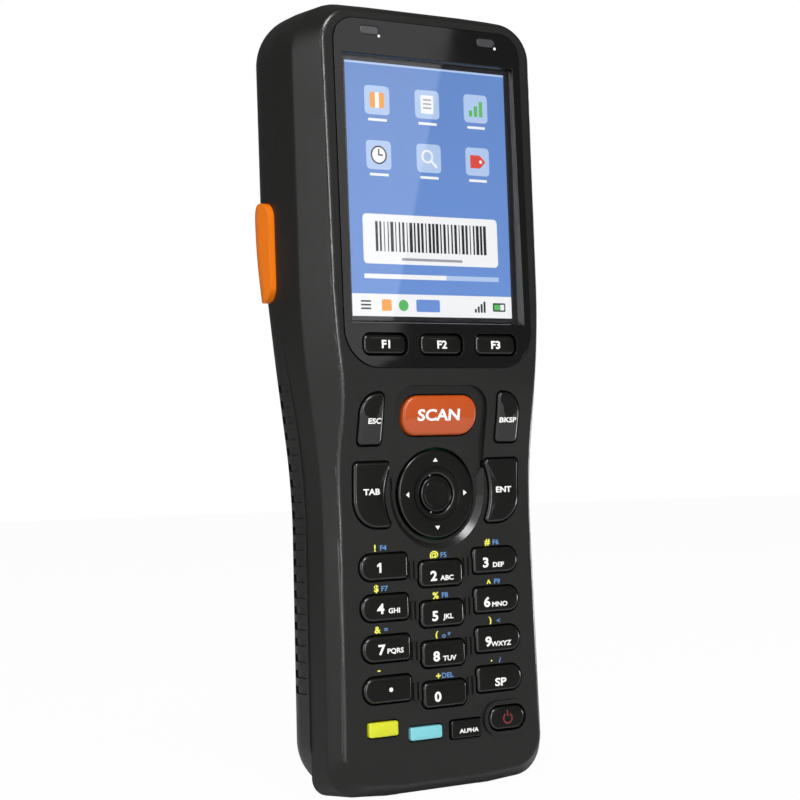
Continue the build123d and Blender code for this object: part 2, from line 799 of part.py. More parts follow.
def link_ribs():
    """The two short ribs that step from each side number key to the middle one."""
    ribs = []
    middle = (NUMBER_COLUMN_X - NUMBER_KEY_LENGTH / 2 + CENTRE_KEY_LENGTH / 2) / 2
    for row in range(4):
        z = number_row_z(row) - CENTRE_COLUMN_DROP / 2
        for side in (-1, 1):
            for step in (-0.5, 0.5):
                x = side * middle + step * LINK_RIB_PITCH
                rib = Pos(x, z) * Rectangle(LINK_RIB_WIDTH, LINK_RIB_HEIGHT)
                ribs.append(front_layer(rib, -LINK_RIB_PROUD, WELD))
    return ribs


def power_rim():
    rim = grown(bar_outline(*POWER_KEY, POWER_KEY_CORNER), KEY_GAP + POWER_RIM)
    return front_layer(rim, -POWER_RIM_PROUD, WELD)


def bezel_outline(gap=0.0):
    half = BEZEL_HALF_WIDTH + gap
    low, top = BEZEL_LOW_Z - gap, BEZEL_TOP_Z + gap
    return rounded_face(
        [
            (-half, low, BEZEL_LOW_RADIUS),
            (half, low, BEZEL_LOW_RADIUS),
            (half, top, BEZEL_TOP_RADIUS),
            (-half, top, BEZEL_TOP_RADIUS),
        ]
    )


def panel_outline(gap=0.0):
    border = 2 * (WINDOW_MARGIN + PANEL_BORDER + gap)
    return Pos(0, SCREEN_Z) * Rectangle(SCREEN_WIDTH + border, SCREEN_HEIGHT + border)


def led_outlines(gap=0.0):
    width, height = LED_WIDTH + 2 * gap, LED_HEIGHT + 2 * gap
    return [
        bar_outline(side * LED_HALF_SPACING, LED_Z, width, height, height / 2 - ROUND_END_EASE)
        for side in (-1, 1)
    ]


def key_openings():
    """Every hole through the front wall for a key."""
    return [slab(grown(sketch, KEY_GAP), IN_FRONT, DEEP_CUT) for sketch in all_key_outlines().values()]


def boss(x, z, near, far):
    return post(x, z, BOSS_RADIUS, near, far)


def screw_places():
    """(x, z, depth of the screw head's outer face)"""
    head_face = HEAD_DEPTH - SCREW_SINK
    base_face = GRIP_DEPTH - BASE_SCREW_SINK
    rows = [
        (HEAD_SCREW_X, HEAD_SCREW_UPPER_Z, head_face),
        (HEAD_SCREW_X, HEAD_SCREW_LOWER_Z, head_face),
        (BASE_SCREW_X, BASE_SCREW_Z, base_face),
    ]
    return [(side * x, z, face) for x, z, face in rows for side in (-1, 1)]


def shank_end(face):
    return face - SCREW_HEAD_HEIGHT - SCREW_SHANK_LENGTH


def port_box(x_low, x_high, width, length):
    half_depth, half_length = width / 2, length / 2
    near, far = PORT_DEPTH - half_depth, PORT_DEPTH + half_depth
    return block(x_low, x_high, near, far, PORT_Z - half_length, PORT_Z + half_length)


def hinge_axis():
    """(x, z) of the port cover's hinge, which lies along Y."""
    return COVER_INNER_X + HINGE_RADIUS, PORT_Z - COVER_LENGTH / 2 + HINGE_RADIUS


def hinge_cylinder(radius, near, far):
    x, z = hinge_axis()
    return post(x, z, radius, near, far)


def cover_pocket():
    near = PORT_DEPTH - COVER_WIDTH / 2
    far = PORT_DEPTH + COVER_WIDTH / 2
    _, hinge_z = hinge_axis()
    low = hinge_z - HINGE_RADIUS - COVER_SWING_ROOM
    top = PORT_Z + COVER_LENGTH / 2 + COVER_GAP
    pocket = block(COVER_INNER_X - COVER_GAP, SPAN, near - COVER_GAP, far + COVER_GAP, low, top)
    sweep = hinge_cylinder(HINGE_RADIUS + HINGE_SWEEP_GAP, near - COVER_GAP, far + COVER_GAP)
    ear = HINGE_PIN_LENGTH + HINGE_GAP
    ears = hinge_cylinder(HINGE_PIN_RADIUS + HINGE_GAP, near - ear, far + ear)
    return [pocket, sweep, ears]


def dock_slot():
    half = DOCK_HALF_WIDTH
    return block(-half, half, DOCK_FRONT_DEPTH, DOCK_REAR_DEPTH, -1, REAR_BASE_Z + 2 * WALL)


def front_shell():
    shell = front_outside() - front_form(WALL, REAR_BASE_Z + WALL)
    inside = front_form(WALL / 2, REAR_BASE_Z + WALL / 2)
    bosses = [boss(x, z, 0, GRIP_SEAM_DEPTH) & inside for x, z, _ in screw_places()]
    posts = board_posts(BOARD_DEPTH)
    shell = shell + bosses + posts + [gimbal_hanger(side) for side in (-1, 1)]
    shell = shell + link_ribs() + [power_rim()]
    shell -= slab(bezel_outline(SHELL_GAP), IN_FRONT, BEZEL_SEAT_DEPTH)
    shell -= slab(panel_outline(SHELL_GAP), IN_FRONT, PANEL_CUT)
    shell -= front_layer(recess_outline(), -2, RECESS_DEPTH)
    shell -= key_openings()
    shell -= post(0, NAV_Z, NAV_RADIUS + NAV_GAP, IN_FRONT, NAV_TOP_DEPTH + NAV_THICKNESS + 1)
    shell -= gimbal_pin_holes(GIMBAL_PIN_RADIUS + GIMBAL_PIN_GAP)
    shell -= [slab(sketch, IN_FRONT, LED_LENGTH) for sketch in led_outlines(SHELL_GAP)]
    for x, z, face in screw_places():
        shell -= post(x, z, SCREW_SHANK_RADIUS, shank_end(face), HEAD_DEPTH)
    shell -= cover_pocket()
    port_gap = 2 * SHELL_GAP
    shell -= port_box(COVER_INNER_X - 2 * WALL, SPAN, PORT_WIDTH + port_gap, PORT_LENGTH + port_gap)
    return shell - dock_slot()


def bezel():
    plate = slab(bezel_outline(), IN_FRONT, BEZEL_SEAT_DEPTH) - ahead_of(FRONT, -BEZEL_PROUD)
    width = SCREEN_WIDTH + 2 * WINDOW_MARGIN
    height = SCREEN_HEIGHT + 2 * WINDOW_MARGIN
    window = Pos(0, SCREEN_Z) * RectangleRounded(width, height, WINDOW_CORNER)
    slope_width, slope_height = width + 2 * WINDOW_CHAMFER, height + 2 * WINDOW_CHAMFER
    slope_mouth = Pos(0, SCREEN_Z) * Rectangle(slope_width, slope_height)
    slope_end = Pos(0, SCREEN_Z) * Rectangle(width, height)
    sections = [
        front_plane(-BEZEL_PROUD - FACE_LIP) * slope_mouth,
        front_plane(BEZEL_SEAT_DEPTH) * slope_end,
    ]
    plate -= slab(window, IN_FRONT, BEZEL_SEAT_DEPTH + CUT_MARGIN)
    plate -= loft(sections, ruled=True)
    for sketch in function_key_outlines().values():
        plate -= slab(grown(sketch, KEY_GAP), IN_FRONT, DEEP_CUT)
    return plate - [slab(sketch, IN_FRONT, LED_LENGTH) for sketch in led_outlines(LED_GAP)]


def led_windows():
    pipes = [slab(sketch, IN_FRONT, LED_LENGTH - WELD) for sketch in led_outlines()]
    return Part() + [pipe - ahead_of(FRONT, -BEZEL_PROUD) for pipe in pipes]


def touch_panel():
    return slab(panel_outline(), PANEL_DEPTH, LCD_DEPTH)


def lcd_sketch(gap=0.0):
    return Pos(0, SCREEN_Z) * Rectangle(LCD_WIDTH + 2 * gap, LCD_HEIGHT + 2 * gap)


def lcd_module():
    return slab(lcd_sketch(), LCD_DEPTH, CHASSIS_DEPTH)


def lcd_frame():
    """The pressed tray behind the display, standing on four feet on the main board."""
    back = CHASSIS_DEPTH + CHASSIS_THICKNESS
    tray = slab(lcd_sketch(CHASSIS_GAP + CHASSIS_LIP), LCD_DEPTH, back)
    tray -= slab(lcd_sketch(CHASSIS_GAP), LCD_DEPTH - 1, CHASSIS_DEPTH)
    tray -= ahead_of(FRONT, WALL)
    x_foot = LCD_WIDTH / 2 - CHASSIS_FOOT_INSET
    z_foot = LCD_HEIGHT / 2 - CHASSIS_FOOT_INSET
    feet = [
        post(side * x_foot, SCREEN_Z + end * z_foot, CHASSIS_POST_RADIUS, back - WELD, MAIN_BOARD_DEPTH)
        for side in (-1, 1)
        for end in (-1, 1)
    ]
    return tray + feet


# Keypad layers


def keypad_sheet():
    middle = (BOARD_LOW_Z + SHEET_TOP_Z) / 2
    sheet = Pos(0, middle) * RectangleRounded(2 * SHEET_HALF_WIDTH, SHEET_TOP_Z - BOARD_LOW_Z, 2)
    hole = PLUNGER_WIDTH + 2 * SHEET_HOLE_GAP
    holes = [Pos(*middle_of(sketch)) * Rectangle(hole, hole) for sketch in all_key_outlines().values()]
    holes += [Pos(x, z) * Circle(BOARD_POST_RADIUS) for x, z in BOARD_POSTS]
    holes.append(Pos(0, NAV_Z) * Circle(GIMBAL_HANGER_REACH + GIMBAL_HANGER_LENGTH + SHEET_NAV_GAP))
    return front_layer(sheet - holes, SHEET_OFFSET, SHEET_OFFSET + SHEET_THICKNESS)


def keypad_board():
    half = BOARD_HALF_WIDTH
    return block(-half, half, BOARD_DEPTH, BOARD_DEPTH + BOARD_THICKNESS, BOARD_LOW_Z, SHEET_TOP_Z)


def dome_places():
    places = [middle_of(sketch) for sketch in all_key_outlines().values()]
    for angle in (45, 135, 225, 315):
        x = NAV_PLUNGER_RADIUS * math.cos(math.radians(angle))
        places.append((x, NAV_Z + NAV_PLUNGER_RADIUS * math.sin(math.radians(angle))))
    return places + [(0, NAV_Z)]


def dome_switches():
    """Metal domes with eight short sides, smaller ones under the navigation disc."""
    domes = Part()
    for x, z in dome_places():
        radius = DOME_RADIUS if abs(z - NAV_Z) > NAV_PLUNGER_RADIUS else NAV_DOME_RADIUS
        dome = Pos(x, z) * RegularPolygon(radius, 8)
        domes += slab(dome, BOARD_DEPTH - DOME_HEIGHT, BOARD_DEPTH)
    return domes


# Rear half


def rear_block(half_width, near, low, high):
    """A block as wide as given, from a depth back to the rear surface."""
    return block(-half_width, half_width, near, HEAD_DEPTH, low, high) & ahead_of(REAR)


def battery_tray():
    wall = SHELL_GAP + BAY_WALL
    low, top = BATTERY_LOW_Z - wall, BATTERY_TOP_Z + wall
    return rear_block(BATTERY_HALF_WIDTH + wall, BATTERY_DEPTH - BAY_FLOOR - SHELL_GAP, low, top)


def battery_body(gap):
    low, top = BATTERY_LOW_Z - gap, BATTERY_TOP_Z + gap
    half = BATTERY_HALF_WIDTH + gap
    sketch = Pos(0, (low + top) / 2) * RectangleRounded(2 * half, top - low, BATTERY_CORNER)
    return slab(sketch, BATTERY_DEPTH - gap, HEAD_DEPTH + 1)


def battery_hooks(gap):
    hooks = []
    for side in (-1, 1):
        x = side * HOOK_X
        low, high = BATTERY_LOW_Z - HOOK_REACH - gap, BATTERY_LOW_Z + WELD
        near, far = HOOK_DEPTH - gap, HOOK_DEPTH + HOOK_THICKNESS + gap
        hooks.append(block(x - HOOK_WIDTH / 2 - gap, x + HOOK_WIDTH / 2 + gap, near, far, low, high))
    return hooks


def battery_pack():
    pack = (battery_body(0) & ahead_of(REAR)) + battery_hooks(0)
    for index in range(BATTERY_PULL_COUNT):
        z = BATTERY_TOP_Z - BATTERY_PULL_TOP - index * BATTERY_PULL_PITCH
        low, high = z - BATTERY_PULL_HEIGHT / 2, z + BATTERY_PULL_HEIGHT / 2
        groove = rear_block(BATTERY_PULL_WIDTH / 2, 0, low, high)
        pack -= groove - ahead_of(REAR, -BATTERY_PULL_DEPTH)
    return pack - latch_tongue(SHELL_GAP, 0)


def latch_slot_near():
    return LATCH_DEPTH - LATCH_THICKNESS


def latch_body():
    half = LATCH_HALF_WIDTH
    body = block(-half, half, latch_slot_near(), HEAD_DEPTH, LATCH_LOW_Z, LATCH_LOW_Z + LATCH_HEIGHT)
    body = body & ahead_of(REAR, -LATCH_SINK)
    for index in range(LATCH_RIB_COUNT):
        z = LATCH_LOW_Z + LATCH_HEIGHT / 2 + (index - 1) * LATCH_RIB_PITCH
        low, high = z - LATCH_RIB / 2, z + LATCH_RIB / 2
        reach = half - LATCH_RIB_INSET
        rib = block(-reach, reach, latch_slot_near(), HEAD_DEPTH, low, high)
        body += rib & ahead_of(REAR, -LATCH_RIB_SINK)
    return body


def latch_tongue(gap, travel):
    half = LATCH_TONGUE_WIDTH / 2 + gap
    near = latch_slot_near() - gap
    far = latch_slot_near() + LATCH_TONGUE_HEIGHT + gap
    low = LATCH_LOW_Z - LATCH_TONGUE_REACH - gap
    return block(-half, half, near, far, low, LATCH_LOW_Z + WELD + travel)


def battery_latch():
    return latch_body() + latch_tongue(0, 0)


def latch_recess():
    half = LATCH_HALF_WIDTH + SHELL_GAP
    low = LATCH_LOW_Z - SHELL_GAP
    high = LATCH_LOW_Z + LATCH_HEIGHT + LATCH_TRAVEL + SHELL_GAP
    return block(-half, half, latch_slot_near() - LATCH_FLOOR_GAP, HEAD_DEPTH + 1, low, high)


def latch_seat():
    wall = LATCH_SEAT_THICKNESS
    low = BATTERY_TOP_Z + SHELL_GAP
    high = LATCH_LOW_Z + LATCH_HEIGHT + LATCH_TRAVEL + SHELL_GAP + wall
    near = latch_slot_near() - LATCH_FLOOR_GAP - wall
    return rear_block(LATCH_HALF_WIDTH + SHELL_GAP + wall, near, low, high)


def strap_pocket(wall):
    half = STRAP_POCKET_HALF_WIDTH + wall
    low = STRAP_BAR_Z - STRAP_POCKET_HEIGHT / 2 - wall
    high = STRAP_BAR_Z + STRAP_POCKET_HEIGHT / 2 + wall
    return block(-half, half, STRAP_POCKET_DEPTH - wall, HEAD_DEPTH + 1, low, high)


def strap_bar():
    reach = STRAP_POCKET_HALF_WIDTH + STRAP_BAR_SEAT
    return side_pin(-reach, reach, STRAP_BAR_DEPTH, STRAP_BAR_Z, STRAP_BAR_RADIUS)


def notch_cuts(outer):
    """The rows of grip notches in the sides, from the seam to the rounded back edge."""
    skin = (outer - rear_form(NOTCH_DEPTH)) & between(SEAM, NOTCH_SEAM_MARGIN, REAR, -NOTCH_REAR_MARGIN)
    cuts = []
    for side in (-1, 1):
        x_low, x_high = sorted((0, side * SPAN))
        for index in range(NOTCH_COUNT):
            z = NOTCH_LOW_Z + index * NOTCH_PITCH
            band = block(x_low, x_high, 0, HEAD_DEPTH, z - NOTCH_HEIGHT / 2, z + NOTCH_HEIGHT / 2)
            cuts += (skin & band).solids()
    return cuts


def button_prism(side, gap):
    """The side view of a side button, drawn through the whole of one side."""
    length, width = BUTTON_LENGTH + 2 * gap, BUTTON_WIDTH + 2 * gap
    rounded_end = RectangleRounded(width, length, width / 2 - ROUND_END_EASE)
    sketch = Plane.YZ * Pos(place_y(BUTTON_DEPTH), BUTTON_Z) * rounded_end
    return Pos(side * HEAD_HALF_WIDTH / 2, 0, 0) * extrude(sketch, side * HEAD_HALF_WIDTH)


def side_button(side, outer, wall_form, flange_form):
    """Cap through the wall, flange behind it and the stem that reaches the switch."""
    cap = (Pos(side * BUTTON_PROUD, 0, 0) * outer - flange_form) & button_prism(side, 0)
    flange = (wall_form - flange_form) & button_prism(side, SHELL_GAP + BUTTON_FLANGE)
    x_low, x_high = sorted((side * switch_tip_x(), side * (HEAD_HALF_WIDTH - WALL)))
    stem = side_pin(x_low, x_high, BUTTON_DEPTH - BUTTON_STEM_SHIFT, BUTTON_Z, BUTTON_STEM_RADIUS)
    return cap + flange + stem


def switch_tip_x():
    """Where a released side button's stem ends."""
    return SWITCH_OUTER_X + SIDE_SWITCH_TIP + BUTTON_TRAVEL + DOME_SLACK


def side_switches():
    """A bracket on the main board and a snap switch behind each side button."""
    pieces = Part()
    depth = BUTTON_DEPTH - BUTTON_STEM_SHIFT
    half_length, half_width = SIDE_SWITCH_LENGTH / 2, SIDE_SWITCH_WIDTH / 2
    for side in (-1, 1):
        low, high = BUTTON_Z - half_length, BUTTON_Z + half_length
        inner = SWITCH_OUTER_X - SIDE_SWITCH_THICKNESS
        x_low, x_high = sorted((side * (inner - BRACKET_THICKNESS), side * inner))
        pieces += block(x_low, x_high, MAIN_BOARD_DEPTH + BOARD_THICKNESS, depth + half_width, low, high)
        x_low, x_high = sorted((side * inner, side * SWITCH_OUTER_X))
        pieces += block(x_low, x_high, depth - half_width, depth + half_width, low, high)
        x_low, x_high = sorted((side * SWITCH_OUTER_X, side * (SWITCH_OUTER_X + SIDE_SWITCH_TIP)))
        pieces += side_pin(x_low, x_high, depth, BUTTON_Z, SIDE_SWITCH_TIP_RADIUS)
    return pieces


def scan_frame_box(gap):
    half = SCAN_FRAME_HALF_WIDTH + gap
    near, far = SCAN_FRAME_FRONT_DEPTH - gap, SCAN_FRAME_REAR_DEPTH + gap
    return block(-half, half, near, far, SCAN_FRAME_LOW_Z - gap, SPAN)


def scan_glass_box(gap, low, high):
    half = SCAN_FRAME_HALF_WIDTH - SCAN_FRAME_BORDER + gap
    near = SCAN_FRAME_FRONT_DEPTH + SCAN_FRAME_BORDER - gap
    far = SCAN_FRAME_REAR_DEPTH - SCAN_FRAME_BORDER + gap
    return block(-half, half, near, far, low, high)


def scan_frame(outer):
    frame = outer & scan_frame_box(0)
    frame -= scan_glass_box(0, SCAN_FRAME_LOW_Z - 1, SPAN)
    glass_top = SCAN_GLASS_Z + SCAN_GLASS_THICKNESS
    return frame - scan_glass_box(SCAN_GLASS_LAP, SCAN_FRAME_LOW_Z - 1, glass_top)


def scan_window():
    return scan_glass_box(SCAN_GLASS_LAP, SCAN_GLASS_Z, SCAN_GLASS_Z + SCAN_GLASS_THICKNESS)


def speaker_slots():
    slots = []
    for index in range(SLOT_COUNT):
        z = SPEAKER_Z + (index - (SLOT_COUNT - 1) / 2) * SLOT_PITCH
        sketch = bar_outline(0, z, SLOT_LENGTH, SLOT_HEIGHT, SLOT_HEIGHT / 2 - ROUND_END_EASE)
        slots.append(slab(sketch, HEAD_DEPTH - 2 * WALL, HEAD_DEPTH + 1))
    return slots


def gasket_groove():
    outer = rear_outline(GASKET_INSET)
    inner = rear_outline(GASKET_INSET + GASKET_WIDTH)
    return slab(outer - inner, 0, HEAD_DEPTH) & between(SEAM, 0, SEAM, GASKET_HEIGHT)


def rear_shell(outer, inner, gasket):
    shell = outer - inner
    added = [battery_tray(), latch_seat()]
    added.append(strap_pocket(BAY_WALL) & outer)
    for x, z, _ in screw_places():
        seam_depth = HEAD_SEAM_DEPTH if z > SCREEN_Z else GRIP_SEAM_DEPTH
        added.append(boss(x, z, seam_depth, HEAD_DEPTH) & outer)
    shell = shell + added
    shell -= [battery_body(SHELL_GAP)] + battery_hooks(SHELL_GAP)
    shell -= [latch_recess(), latch_tongue(SHELL_GAP, 0)]
    shell -= contact_opening()
    shell -= strap_pocket(0)
    shell -= strap_bar()
    shell -= notch_cuts(outer)
    shell -= [button_prism(side, SHELL_GAP) for side in (-1, 1)]
    shell -= scan_frame_box(0)
    shell -= speaker_slots()
    for x, z, face in screw_places():
        shell -= post(x, z, SCREW_SHANK_RADIUS + BOSS_HOLE_GAP, shank_end(face), face)
        shell -= post(x, z, SCREW_HEAD_RADIUS + SHELL_GAP, face - SCREW_HEAD_HEIGHT, HEAD_DEPTH + 1)
    return shell - gasket


def housing_screws():
    screws = Part()
    for x, z, face in screw_places():
        head = post(x, z, SCREW_HEAD_RADIUS, face - SCREW_HEAD_HEIGHT, face)
        socket = Pos(x, z) * RegularPolygon(SCREW_SOCKET_RADIUS, 6)
        head -= slab(socket, face - SCREW_SOCKET_DEPTH, face + CUT_MARGIN)
        screws += head + post(x, z, SCREW_SHANK_RADIUS, shank_end(face), face - SCREW_HEAD_HEIGHT)
    return screws


# Parts inside


def main_board():
    near = MAIN_BOARD_DEPTH
    half = MAIN_BOARD_HALF_WIDTH
    return block(-half, half, near, near + BOARD_THICKNESS, MAIN_BOARD_LOW_Z, MAIN_BOARD_TOP_Z)


def on_main_board(x, z, width, height, thickness):
    """A box soldered to the back of the main board."""
    near = MAIN_BOARD_DEPTH + BOARD_THICKNESS
    return block(x - width / 2, x + width / 2, near, near + thickness, z - height / 2, z + height / 2)


def shield_can():
    return on_main_board(0, SHIELD_Z, SHIELD_WIDTH, SHIELD_HEIGHT, SHIELD_THICKNESS)


def card_socket():
    x, z = CARD_SOCKET_X, CARD_SOCKET_Z
    return on_main_board(x, z, CARD_SOCKET_WIDTH, CARD_SOCKET_HEIGHT, CARD_SOCKET_THICKNESS)


def antenna():
    return on_main_board(0, ANTENNA_Z, ANTENNA_LENGTH, ANTENNA_HEIGHT, ANTENNA_THICKNESS)


def vibration_motor():
    depth = MAIN_BOARD_DEPTH + BOARD_THICKNESS + MOTOR_RADIUS
    half = MOTOR_LENGTH / 2
    return side_pin(MOTOR_X - half, MOTOR_X + half, depth, MOTOR_Z, MOTOR_RADIUS)


def scan_engine():
    half = ENGINE_WIDTH / 2
    near = (SCAN_FRAME_FRONT_DEPTH + SCAN_FRAME_REAR_DEPTH - ENGINE_DEPTH) / 2
    body = block(-half, half, near, near + ENGINE_DEPTH, ENGINE_TOP_Z - ENGINE_HEIGHT, ENGINE_TOP_Z)
    middle = near + ENGINE_DEPTH / 2
    nose_top = ENGINE_TOP_Z + ENGINE_NOSE_LENGTH
    nose = upright_pin(-half / 2, middle, ENGINE_TOP_Z, nose_top, ENGINE_NOSE_RADIUS)
    leg_near = MAIN_BOARD_DEPTH + BOARD_THICKNESS
    low = ENGINE_TOP_Z - ENGINE_HEIGHT
    leg = block(-half / 2, half / 2, leg_near, near, low, low + ENGINE_HEIGHT / 2)
    return body + nose + leg


def speaker():
    back = HEAD_DEPTH - WALL
    case = post(0, SPEAKER_Z, SPEAKER_RADIUS, back - SPEAKER_THICKNESS, back)
    return case - post(0, SPEAKER_Z, SPEAKER_DOME_RADIUS, back - SPEAKER_DOME_DEPTH, back)


def contact_opening():
    half = contact_half_width() + SHELL_GAP
    low = CONTACT_Z - CONTACT_BLOCK_HEIGHT / 2 - SHELL_GAP
    high = CONTACT_Z + CONTACT_BLOCK_HEIGHT / 2 + SHELL_GAP
    return block(-half, half, BOARD_DEPTH, BATTERY_DEPTH, low, high)


def contact_half_width():
    return (CONTACT_COUNT * CONTACT_PITCH + CONTACT_WIDTH) / 2


def battery_contacts():
    half = contact_half_width()
    low, high = CONTACT_Z - CONTACT_BLOCK_HEIGHT / 2, CONTACT_Z + CONTACT_BLOCK_HEIGHT / 2
    near = BOARD_DEPTH + BOARD_THICKNESS
    contacts = block(-half, half, near, BATTERY_DEPTH - SHELL_GAP, low, high)
    for index in range(CONTACT_COUNT):
        x = (index - (CONTACT_COUNT - 1) / 2) * CONTACT_PITCH
        blade_half = CONTACT_WIDTH / 2
        blade_low, blade_high = low + CONTACT_EDGE, high - CONTACT_EDGE
        contacts += block(x - blade_half, x + blade_half, near, BATTERY_DEPTH, blade_low, blade_high)
    return contacts


def dock_connector():
    half = DOCK_HALF_WIDTH
    top = DOCK_RECESS + DOCK_HEIGHT
    connector = block(-half, half, DOCK_FRONT_DEPTH, DOCK_REAR_DEPTH, DOCK_RECESS, top)
    middle = (DOCK_FRONT_DEPTH + DOCK_REAR_DEPTH) / 2
    half_pin = DOCK_PIN_WIDTH / 2
    near, far = middle - half_pin, middle + half_pin
    for index in range(DOCK_PIN_COUNT):
        x = (index - (DOCK_PIN_COUNT - 1) / 2) * DOCK_PIN_PITCH
        pin = block(x - half_pin, x + half_pin, near, far, DOCK_RECESS / 2, DOCK_RECESS + WELD)
        connector += pin
    return connector


def usb_port():
    wall = PORT_HOUSING_WALL
    outer = COVER_INNER_X - COVER_GAP - PORT_WALL
    housing = port_box(outer - PORT_HOUSING_DEPTH, outer, PORT_WIDTH + 2 * wall, PORT_LENGTH + 2 * wall)
    mouth = port_box(outer - WELD, COVER_INNER_X - COVER_GAP, PORT_WIDTH, PORT_LENGTH)
    hollow = port_box(outer - PORT_HOUSING_DEPTH + wall, SPAN, PORT_WIDTH - wall, PORT_LENGTH - wall)
    tongue_length = PORT_LENGTH - 2 * wall - PORT_TONGUE_ROOM
    tongue = port_box(outer - PORT_HOUSING_DEPTH, outer, PORT_TONGUE, tongue_length)
    return (housing + mouth - hollow) + tongue


def port_cover():
    near, far = PORT_DEPTH - COVER_WIDTH / 2, PORT_DEPTH + COVER_WIDTH / 2
    _, hinge_z = hinge_axis()
    flap = block(COVER_INNER_X, SPAN, near, far, hinge_z, PORT_Z + COVER_LENGTH / 2)
    flap = flap & front_outside()
    barrel = hinge_cylinder(HINGE_RADIUS, near, far)
    pins = hinge_cylinder(HINGE_PIN_RADIUS, near - HINGE_PIN_LENGTH, far + HINGE_PIN_LENGTH)
    return flap + barrel + pins


def all_pieces():
    outer = rear_form(0)
    inner = rear_form(WALL)
    gasket = gasket_groove()
    flange_near = rear_form(WALL + KEY_REST_GAP)
    flange_far = rear_form(WALL + KEY_REST_GAP + BUTTON_FLANGE_THICKNESS)
    pieces = {
        "front_shell": front_shell(),
        "rear_shell": rear_shell(outer, inner, gasket),
        "shell_gasket": gasket,
        "housing_screws": housing_screws(),
        "bezel": bezel(),
        "led_windows": led_windows(),
        "touch_panel": touch_panel(),
        "lcd_module": lcd_module(),
        "lcd_frame": lcd_frame(),
        "keypad_sheet": keypad_sheet(),
        "keypad_board": keypad_board(),
        "dome_switches": dome_switches(),
        "nav_pivot": nav_pivot(),
        "nav_disc": nav_disc(),
        "nav_center": nav_center(),
        "main_board": main_board(),
        "shield_can": shield_can(),
        "card_socket": card_socket(),
        "antenna": antenna(),
        "vibration_motor": vibration_motor(),
        "speaker": speaker(),
        "scan_engine": scan_engine(),
        "scan_frame": scan_frame(outer),
        "scan_window": scan_window(),
        "side_button_left": side_button(-1, outer, flange_near, flange_far),
        "side_button_right": side_button(1, outer, flange_near, flange_far),
        "side_switches": side_switches(),
        "battery_pack": battery_pack(),
        "battery_latch": battery_latch(),
        "battery_contacts": battery_contacts(),
        "dock_connector": dock_connector(),
        "strap_bar": strap_bar(),
        "usb_port": usb_port(),
        "port_cover": port_cover(),
    }
    for name, sketch in all_key_outlines().items():
        pieces[name] = key(sketch, key_proud(name))
    return pieces


if __name__ == "__main__":
    os.makedirs("parts", exist_ok=True)
    for node, shape in all_pieces().items():
        export_step(shape, f"parts/{node}.step")
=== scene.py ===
import json
import math

import bmesh
import bpy
from mathutils import Matrix, Vector
from mathutils.bvhtree import BVHTree

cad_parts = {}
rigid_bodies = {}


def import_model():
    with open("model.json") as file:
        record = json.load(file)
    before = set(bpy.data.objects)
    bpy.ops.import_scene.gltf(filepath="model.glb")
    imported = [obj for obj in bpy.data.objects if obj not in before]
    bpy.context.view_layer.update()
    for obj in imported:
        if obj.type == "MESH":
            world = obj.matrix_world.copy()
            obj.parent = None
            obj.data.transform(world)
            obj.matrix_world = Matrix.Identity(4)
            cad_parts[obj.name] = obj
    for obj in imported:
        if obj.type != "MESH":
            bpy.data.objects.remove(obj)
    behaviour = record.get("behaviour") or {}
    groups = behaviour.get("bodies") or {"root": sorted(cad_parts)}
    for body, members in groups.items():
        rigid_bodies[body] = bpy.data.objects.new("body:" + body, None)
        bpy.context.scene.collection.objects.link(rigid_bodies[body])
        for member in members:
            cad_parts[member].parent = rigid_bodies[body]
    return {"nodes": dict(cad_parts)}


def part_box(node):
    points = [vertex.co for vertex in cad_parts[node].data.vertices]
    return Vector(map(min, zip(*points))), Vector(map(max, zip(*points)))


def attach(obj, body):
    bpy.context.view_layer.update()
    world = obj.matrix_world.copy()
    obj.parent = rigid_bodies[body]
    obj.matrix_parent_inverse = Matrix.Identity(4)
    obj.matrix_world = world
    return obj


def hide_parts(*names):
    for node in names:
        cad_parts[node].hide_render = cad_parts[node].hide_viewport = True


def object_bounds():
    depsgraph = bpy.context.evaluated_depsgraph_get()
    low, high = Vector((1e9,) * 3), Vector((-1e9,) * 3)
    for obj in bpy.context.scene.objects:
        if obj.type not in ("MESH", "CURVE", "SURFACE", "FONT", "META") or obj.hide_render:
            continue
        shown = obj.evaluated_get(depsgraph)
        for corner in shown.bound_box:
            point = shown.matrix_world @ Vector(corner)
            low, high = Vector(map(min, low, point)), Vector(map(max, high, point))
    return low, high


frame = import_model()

bl_info = {
    "name": "Data terminal",
    "version": (1, 0, 0),
    "blender": (4, 5, 0),
    "location": "3D View > Sidebar > Terminal",
    "description": "Dresses the solids of a hand-held barcode data terminal",
    "category": "Object",
}

CAD_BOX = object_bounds()
MM = 0.001
HOUSING = "housing"

KEY_NODES = sorted(name for name in frame["nodes"] if name.startswith("key_"))


def node_centre(node):
    """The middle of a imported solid's box."""
    low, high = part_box(node)
    return (low + high) / 2


# Settings that a user would change


def length_setting(name, description, default, least=0.0):
    return bpy.props.FloatProperty(
        name=name, description=description, default=default, min=least, unit="LENGTH"
    )


def colour_setting(name, description, default):
    return bpy.props.FloatVectorProperty(
        name=name, description=description, default=default, subtype="COLOR"
    )


def power_setting(name, description, default):
    return bpy.props.FloatProperty(
        name=name, description=description, default=default, min=0.0, unit="POWER"
    )


